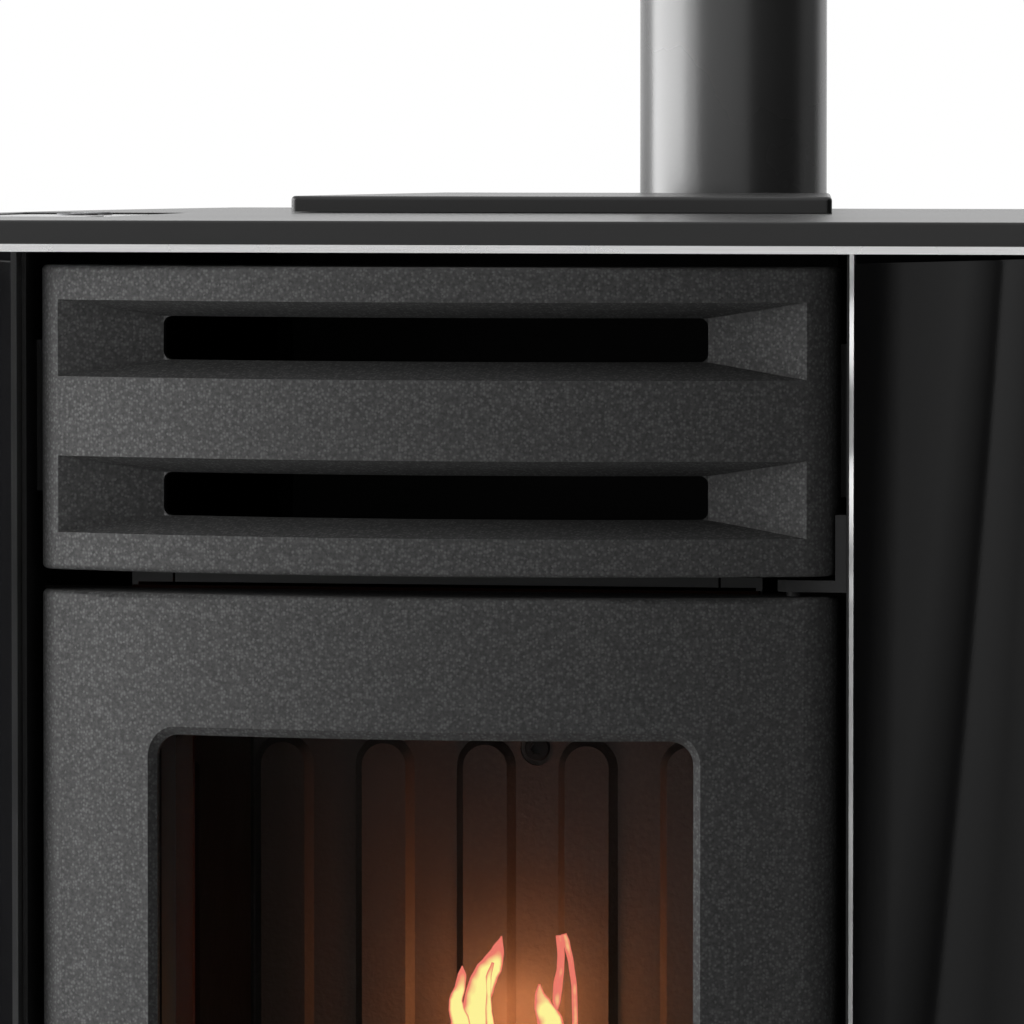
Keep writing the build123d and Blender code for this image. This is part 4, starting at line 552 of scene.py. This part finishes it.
# Nodes that look different from the rest of their slot.
OWN_FINISHES = {
    "left_edge_strip": STRIP_FINISH,
    "right_edge_strip": STRIP_FINISH,
    "back_plate_screw": fire_worn(
        "sooty_screw", (0.006, 0.005, 0.005), THIN_ASH, 0.45, 600.0, 0.0001, 0.1, 0.15
    ),
    "left_fire_liner": LINER_FINISH,
    "right_fire_liner": LINER_FINISH,
    "firebox_shell": shell_with_painted_light(SHELL_FRONT),
    # The back plate's left end is darkened along X as painted shade.
    "firebox_back_plate": fire_worn(
        "back_plate_painted_shade", FIREBOX_IRON, THICK_ASH, 0.62, 420.0, 0.0004, 0.4, painted_shade=("X", -0.13, -0.085)
    ),
    # The flange is painted orange-brown low down as painted firelight, and near black from 0.66 m
    # up to 0.80 m and above as painted shade.
    "firebox_flange": fire_worn(
        "flange_painted_firelight",
        (0.06, 0.011, 0.003),
        THIN_ASH,
        0.7,
        500.0,
        0.0002,
        0.2,
        0.04,
        ("Z", 0.80, 0.66),
    ),
}

for part in frame["record"]["subparts"]:
    carried = nodes[part["node"]]
    finish = OWN_FINISHES.get(part["node"], FINISHES[part["material_slot"]])
    if not carried.material_slots:
        carried.data.materials.append(finish)
    for material_slot in carried.material_slots:
        material_slot.material = finish


# ---------------------------------------------------------------- pieces made here


def mesh_object(name, builder, finish):
    """An object in the scene, made from a bmesh and given one material."""
    mesh = bpy.data.meshes.new(name)
    builder.to_mesh(mesh)
    builder.free()
    mesh.materials.append(finish)
    made = bpy.data.objects.new(name, mesh)
    bpy.context.scene.collection.objects.link(made)
    return made


def new_piece(name, builder, finish, body):
    """A smooth, named piece that rides on its body."""
    piece = mesh_object(name, builder, finish)
    for polygon in piece.data.polygons:
        polygon.use_smooth = True
    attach(piece, body)
    return piece


def add_tube(builder, centres, radii, sides, flatten=1.0, closed=False):
    """A tube of rings round a line of centres; open ends are closed with a fan."""
    rings = []
    count = len(centres)
    for index, centre in enumerate(centres):
        before = centres[index - 1] if (index or closed) else centres[0]
        after = centres[(index + 1) % count] if (index < count - 1 or closed) else centres[-1]
        along = (after - before).normalized()
        side = along.cross(BACK)
        if side.length < 1e-4:
            side = along.cross(Vector((1, 0, 0)))
        side.normalize()
        up = side.cross(along).normalized()
        ring = []
        for step in range(sides):
            angle = 2 * math.pi * step / sides
            across = side * math.cos(angle) * radii[index]
            upward = up * math.sin(angle) * radii[index] * flatten
            ring.append(builder.verts.new(centre + (across + upward)))
        rings.append(ring)
    for index in range(count if closed else count - 1):
        first, second = rings[index], rings[(index + 1) % count]
        for step in range(sides):
            following = (step + 1) % sides
            builder.faces.new((first[step], first[following], second[following], second[step]))
    if closed:
        return
    for ring, centre, flip in ((rings[0], centres[0], True), (rings[-1], centres[-1], False)):
        middle = builder.verts.new(centre)
        for step in range(sides):
            pair = (ring[step], ring[(step + 1) % sides])
            builder.faces.new((*reversed(pair), middle) if flip else (*pair, middle))


def rounded_rectangle(half_width, low, high, radius, y, steps):
    """Evenly spaced points round a rounded rectangle that stands in the XZ plane."""
    arc_steps = 8
    corners = [
        (half_width - radius, high - radius, 0.0),
        (-half_width + radius, high - radius, 90.0),
        (-half_width + radius, low + radius, 180.0),
        (half_width - radius, low + radius, 270.0),
    ]
    outline = []
    for x, z, start in corners:
        for step in range(arc_steps + 1):
            angle = math.radians(start + 90 * step / arc_steps)
            outline.append(Vector((x + radius * math.cos(angle), y, z + radius * math.sin(angle))))
    lengths = [0.0]
    for index, point in enumerate(outline):
        following = outline[(index + 1) % len(outline)]
        lengths.append(lengths[-1] + (following - point).length)
    points = []
    for step in range(steps):
        target = lengths[-1] * step / steps
        index = max(i for i, length in enumerate(lengths[:-1]) if length <= target)
        share = (target - lengths[index]) / max(lengths[index + 1] - lengths[index], 1e-9)
        points.append(outline[index].lerp(outline[(index + 1) % len(outline)], share))
    return points


def braided_rope():
    """The door's rope seal, laid from three strands."""
    strands, turns, steps, sides = 3, 120, 640, 8
    corner_radius = 0.016
    low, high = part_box("door_rope_seal")
    radius = (high.y - low.y) / 2
    middle_y = (high.y + low.y) / 2
    strand = radius * 0.52
    path = rounded_rectangle(
        high.x - radius, low.z + radius, high.z - radius, corner_radius, middle_y, steps
    )
    builder = bmesh.new()
    for number in range(strands):
        centres = []
        for index, point in enumerate(path):
            along = (path[(index + 1) % steps] - path[index - 1]).normalized()
            outward = along.cross(BACK).normalized()
            angle = 2 * math.pi * (turns * index / steps + number / strands)
            lay = outward * math.cos(angle) + BACK * math.sin(angle)
            centres.append(point + (radius - strand) * lay)
        add_tube(builder, centres, [strand] * steps, sides, closed=True)
    rope = new_piece("door_rope", builder, FINISHES["rope_seal"], "door")
    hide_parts("door_rope_seal")


# Tongues of flame in millimetres: how far behind the pot's middle, where the pink tip starts,
# then rows of height, left edge and right edge, from the top down.
TONGUES = {
    "flame_tall": (
        10, 674,
        ((690, 2.2, 2.9), (683, -2.6, 3.9), (676, -7.5, 3.4), (672, -11.0, 1.2),
         (666, -14, -0.8), (659, -16, -3), (649, -18, -4), (620, -27, -3),
         (580, -35, -2), (540, -35, -6), (512, -28, -8)),
    ),
    "flame_left": (
        -4, 664,
        ((676.5, -14.4, -13.8), (672, -16.4, -12), (666, -17.8, -12.5), (660, -20.6, -14),
         (655, -20.9, -13), (649, -19.6, -10), (620, -30, -16), (580, -38, -20),
         (545, -34, -22)),
    ),
    "flame_strand": (
        -10, 668,
        ((679, 1.6, 3.0), (672, -1.2, 1.6), (665, -0.8, 1.4), (656, -1.4, 1.8),
         (649, -1.2, 3.0), (620, -4, 8), (580, -10, 16), (540, -12, 18), (512, -8, 14)),
    ),
    "flame_middle": (
        2, 655,
        ((667.7, 22.4, 23.4), (663, 20.7, 25.3), (658, 20.2, 29), (649, 21.8, 35),
         (620, 16, 39), (580, 4, 39), (540, -2, 34), (512, 0, 26)),
    ),
    "flame_right_lobe": (
        -2, 640,
        ((692, 31.8, 35.4), (683, 32.6, 36.2), (676, 32.3, 36.0), (668, 30.6, 35.2),
         (660, 30.2, 34.2), (656, 31.6, 33.0)),
    ),
    "flame_right_strand": (
        6, 635,
        ((692, 32.8, 35.6), (688, 34, 37.2), (678, 36.4, 39.2), (666, 38.0, 40.8),
         (649, 38.4, 41.2), (620, 35, 41), (580, 28, 40), (540, 22, 36), (515, 16, 28)),
    ),
    "flame_low_front": (
        -20, 594,
        ((606, -12, -10), (590, -18, -2), (565, -24, 4), (535, -26, 10), (512, -20, 8)),
    ),
    "flame_low_back": (
        22, 606,
        ((618, 10, 12), (600, 4, 20), (570, -2, 28), (535, -6, 30), (512, 0, 22)),
    ),
}


def flames():
    """The tongues as flattened tubes, with their rings closer together towards the tip."""
    steps, sides, crowding, flatten, thinnest = 48, 24, 1.4, 0.5, 0.0002
    for name, (behind, tip, rows) in TONGUES.items():
        builder = bmesh.new()
        heights = [row[0] for row in rows]
        centres, radii = [], []
        for step in range(steps + 1):
            height = heights[0] + (heights[-1] - heights[0]) * (step / steps) ** crowding
            index = next(
                (i for i in range(len(rows) - 1) if heights[i + 1] <= height), len(rows) - 2
            )
            share = (heights[index] - height) / (heights[index] - heights[index + 1])
            share = share * share * (3 - 2 * share) * 0.5 + share * 0.5
            _, left, right = (
                above + (below - above) * share
                for above, below in zip(rows[index], rows[index + 1])
            )
            middle = (left + right) / 2 * MM
            centres.append(Vector((middle, POT_MIDDLE_Y + behind * MM, height * MM)))
            radii.append(max((right - left) / 2 * MM, thinnest))
        add_tube(builder, centres, radii, sides, flatten=flatten)
        glow = flame_glow(name + "_glow", tip * MM)
        new_piece(name, builder, glow, "fire_pot")


def pellet_heap():
    """Burning pellets that fill the pot, more widely strewn towards the top."""
    count, sides, end_radius, waist_radius = 150, 9, 0.003, 0.0031
    bottom, depth = POT_LOW.z + 0.008, 0.036
    draw = random.Random(7)
    builder = bmesh.new()
    for number in range(count):
        length = draw.uniform(0.010, 0.018)
        layer = number / count
        half_x = 0.024 + 0.008 * layer
        half_y = 0.018 + 0.008 * layer
        x = draw.uniform(-half_x, half_x)
        y = POT_MIDDLE_Y + draw.uniform(-half_y, half_y)
        middle = Vector((x, y, bottom + depth * layer))
        around = Matrix.Rotation(draw.uniform(0, math.pi), 3, "Z")
        tilted = Matrix.Rotation(draw.uniform(-0.5, 0.5), 3, "Y")
        along = around @ tilted @ Vector((1, 0, 0))
        centres = [middle - along * length / 2, middle, middle + along * length / 2]
        add_tube(builder, centres, [end_radius, waist_radius, end_radius], sides)
    new_piece("pellet_heap", builder, glowing_pellets(), "fire_pot")


braided_rope()
flames()
pellet_heap()


# ---------------------------------------------------------------- floor, light and camera

FLOOR_HALF = 9.0

# Studio cards: from and to on the plan, height, brightness. None asks for the slanted streak.
CARDS = {
    "right_card": ((2.6, SLAB_FRONT - 4.0), (2.6, 3.2), 3.2, None),
    "left_rear_card": ((-2.9, 1.75), (0.2, 3.7), 0.98, 0.005),
    "low_front_card": ((-2.2, SLAB_FRONT - 2.2), (2.2, SLAB_FRONT - 2.2), 0.8, 0.012),
    "front_card": ((-5.0, SLAB_FRONT - 5.0), (6.0, SLAB_FRONT - 5.0), 5.0, 0.75),
}

# Soft lamps: place, aim, width, height, watts, and whether gloss mirrors them.
SOFT_LAMPS = {
    "key_lamp": ((-2.70, -0.28, 1.35), (0, 0.0, 0.95), 3.0, 2.2, 150, True),
    "key_edge_lamp": ((-2.15, -2.05, 1.35), (0, -0.1, 0.95), 0.9, 2.2, 18, True),
    "front_left_lamp": ((-1.45, -3.1, 1.35), (0, -0.2, 0.9), 1.6, 2.2, 10, False),
    "top_lamp": ((0.0, -0.3, 3.2), (0, 0, 0.8), 2.2, 2.2, 12, False),
}

# Fire lamps: x, distance ahead of the back plate and z in millimetres, watts, radius.
FIRE_LAMPS = {
    "fire_lamp_high": (-8, 25, 643, 0.39, 0.012),
    "fire_lamp_low": (0, 60, 560, 0.08, 0.02),
}

# The white world's strength as light on dull surfaces, and the share of its full white that a
# mirror or glass still brings to light that has bounced off a dull surface.
ROOM_LEVEL = 0.08
BOUNCED_SHARE = 0.25

# The camera that was solved from the photograph, then turned to the middle of the frame.
CAMERA_LENS = 307.5
CAMERA_PLACE = (0.8458, SLAB_FRONT - 3.977, SLAB_TOP + 0.0488)
CAMERA_HEADING = 12.0 - 0.607
CAMERA_DIP = 2.593


def pale_floor():
    """A plain floor with hardly visible clouds."""
    made, tree, shader = new_material("pale_floor")
    clouds = effect(tree, "blotch", Cloud_Scale=1.5, Contrast=0.4)[0]
    darker, lighter = tinted(FLOOR_GREY, 0.98), tinted(FLOOR_GREY, 1)
    values = {"Base Color": blend_colours(tree, clouds, darker, lighter), "Roughness": 0.9}
    feed(tree, shader.inputs, values)
    builder = bmesh.new()
    corners = ((-1, -1), (1, -1), (1, 1), (-1, 1))
    builder.faces.new([builder.verts.new((x * FLOOR_HALF, y * FLOOR_HALF, 0)) for x, y in corners])
    floor = mesh_object("pale_floor", builder, made)


def slanted_streak(tree):
    """Brightness of the right card: dark at its front, then pale with one slanted dark streak."""
    depth, height = along_own(tree, "Y"), along_own(tree, "Z")
    slant = work_out(tree, "ADD", depth, work_out(tree, "MULTIPLY", height, -1.6))
    past_edge = work_out(tree, "ADD", slant, -0.495)
    fading = spread(tree, past_edge, -0.6, -0.1, 0.34, 0.05)
    beyond = spread(tree, past_edge, 0.0, 0.7, 0.32, 0.15)
    side = spread(tree, past_edge, -0.02, 0.02, 0.0, 1.0)
    far_part = work_out(tree, "MULTIPLY", beyond, side)
    near_part = work_out(tree, "MULTIPLY", fading, work_out(tree, "SUBTRACT", 1.0, side))
    streak = work_out(tree, "ADD", far_part, near_part)
    from_front = work_out(tree, "ADD", depth, work_out(tree, "MULTIPLY", height, -0.2))
    front = spread(tree, from_front, 0.39, 0.58, 0.1, 1.0)
    return work_out(tree, "MULTIPLY", streak, front)


def reflected_card(name, start, end, height, level):
    """An upright card on the floor that only reflections see: it keeps gloss deep."""
    made, tree, shader = new_material(name)
    if level is None:
        strength = slanted_streak(tree)
    else:
        clouds = effect(tree, "blotch", Cloud_Scale=0.6, Contrast=1.0)[0]
        strength = spread(tree, clouds, 0.0, 1.0, 0.8 * level, 1.2 * level)
    values = {
        "Base Color": BLACK,
        "Roughness": 1.0,
        "Specular IOR Level": 0.0,
        "Emission Color": WHITE,
        "Emission Strength": strength,
    }
    feed(tree, shader.inputs, values)
    builder = bmesh.new()
    corners = ((*start, 0.0), (*end, 0.0), (*end, height), (*start, height))
    builder.faces.new([builder.verts.new(corner) for corner in corners])
    card = mesh_object(name, builder, made)
    card.visible_camera = False
    card.visible_diffuse = False
    card.visible_shadow = False
    card.visible_transmission = False


def backdrop_world():
    """White wherever the camera, a reflection or a glass looks, and softer as light."""
    world = bpy.data.worlds.new("studio")
    bpy.context.scene.world = world
    world.use_nodes = True
    tree = world.node_tree
    rays = place(tree, "ShaderNodeLightPath").outputs
    seen = work_out(tree, "MAXIMUM", rays["Is Camera Ray"], rays["Is Glossy Ray"])
    seen = work_out(tree, "MAXIMUM", seen, rays["Is Transmission Ray"])
    kept = spread(tree, rays["Diffuse Depth"], 0.0, 1.0, 1.0, BOUNCED_SHARE)
    white = work_out(tree, "MULTIPLY", seen, kept)
    strength = spread(tree, white, 0.0, 1.0, ROOM_LEVEL, 1.0)
    feed(tree, tree.nodes["Background"].inputs, {"Strength": strength, "Color": WHITE})


def new_lamp(name, kind, power, location):
    """A lamp that the camera doesn't see, and its data."""
    lamp = bpy.data.lights.new(name, kind)
    lamp.energy = power
    stand = bpy.data.objects.new(name, lamp)
    stand.location = location
    stand.visible_camera = False
    bpy.context.scene.collection.objects.link(stand)
    return stand, lamp


def soft_lamp(name, place_at, aim_at, width, height, power, mirrored):
    """A white rectangle of soft light."""
    stand, lamp = new_lamp(name, "AREA", power, place_at)
    lamp.shape = "RECTANGLE"
    lamp.size = width
    lamp.size_y = height
    aim = Vector(aim_at) - Vector(place_at)
    stand.rotation_euler = aim.to_track_quat("-Z", "Y").to_euler()
    stand.visible_glossy = mirrored


def fire_lamp(name, x, ahead, z, power, radius):
    """The fire's own light on the metal round it."""
    location = (x * MM, PLATE_FRONT - ahead * MM, z * MM)
    stand, lamp = new_lamp(name, "POINT", power, location)
    lamp.color = FIRE_ORANGE
    lamp.shadow_soft_size = radius
    stand.visible_glossy = False
    stand.visible_transmission = False


def camera_at_the_photograph():
    """The photograph's distance and angle, turned to its frame's middle instead of shifted."""
    camera = bpy.data.cameras.new("photograph")
    camera.lens = CAMERA_LENS
    camera.sensor_width = 36.0
    camera.clip_end = 60
    stand = bpy.data.objects.new("photograph", camera)
    stand.location = CAMERA_PLACE
    heading = math.radians(CAMERA_HEADING)
    dip = math.radians(CAMERA_DIP)
    right = -math.sin(heading) * math.cos(dip)
    back = math.cos(heading) * math.cos(dip)
    ahead = Vector((right, back, -math.sin(dip)))
    stand.rotation_euler = ahead.to_track_quat("-Z", "Y").to_euler()
    bpy.context.scene.collection.objects.link(stand)
    bpy.context.scene.camera = stand


pale_floor()
for name, card in CARDS.items():
    reflected_card(name, *card)
backdrop_world()
for name, lamp in SOFT_LAMPS.items():
    soft_lamp(name, *lamp)
for name, lamp in FIRE_LAMPS.items():
    fire_lamp(name, *lamp)
camera_at_the_photograph()

bpy.context.scene.view_settings.view_transform = "Standard"
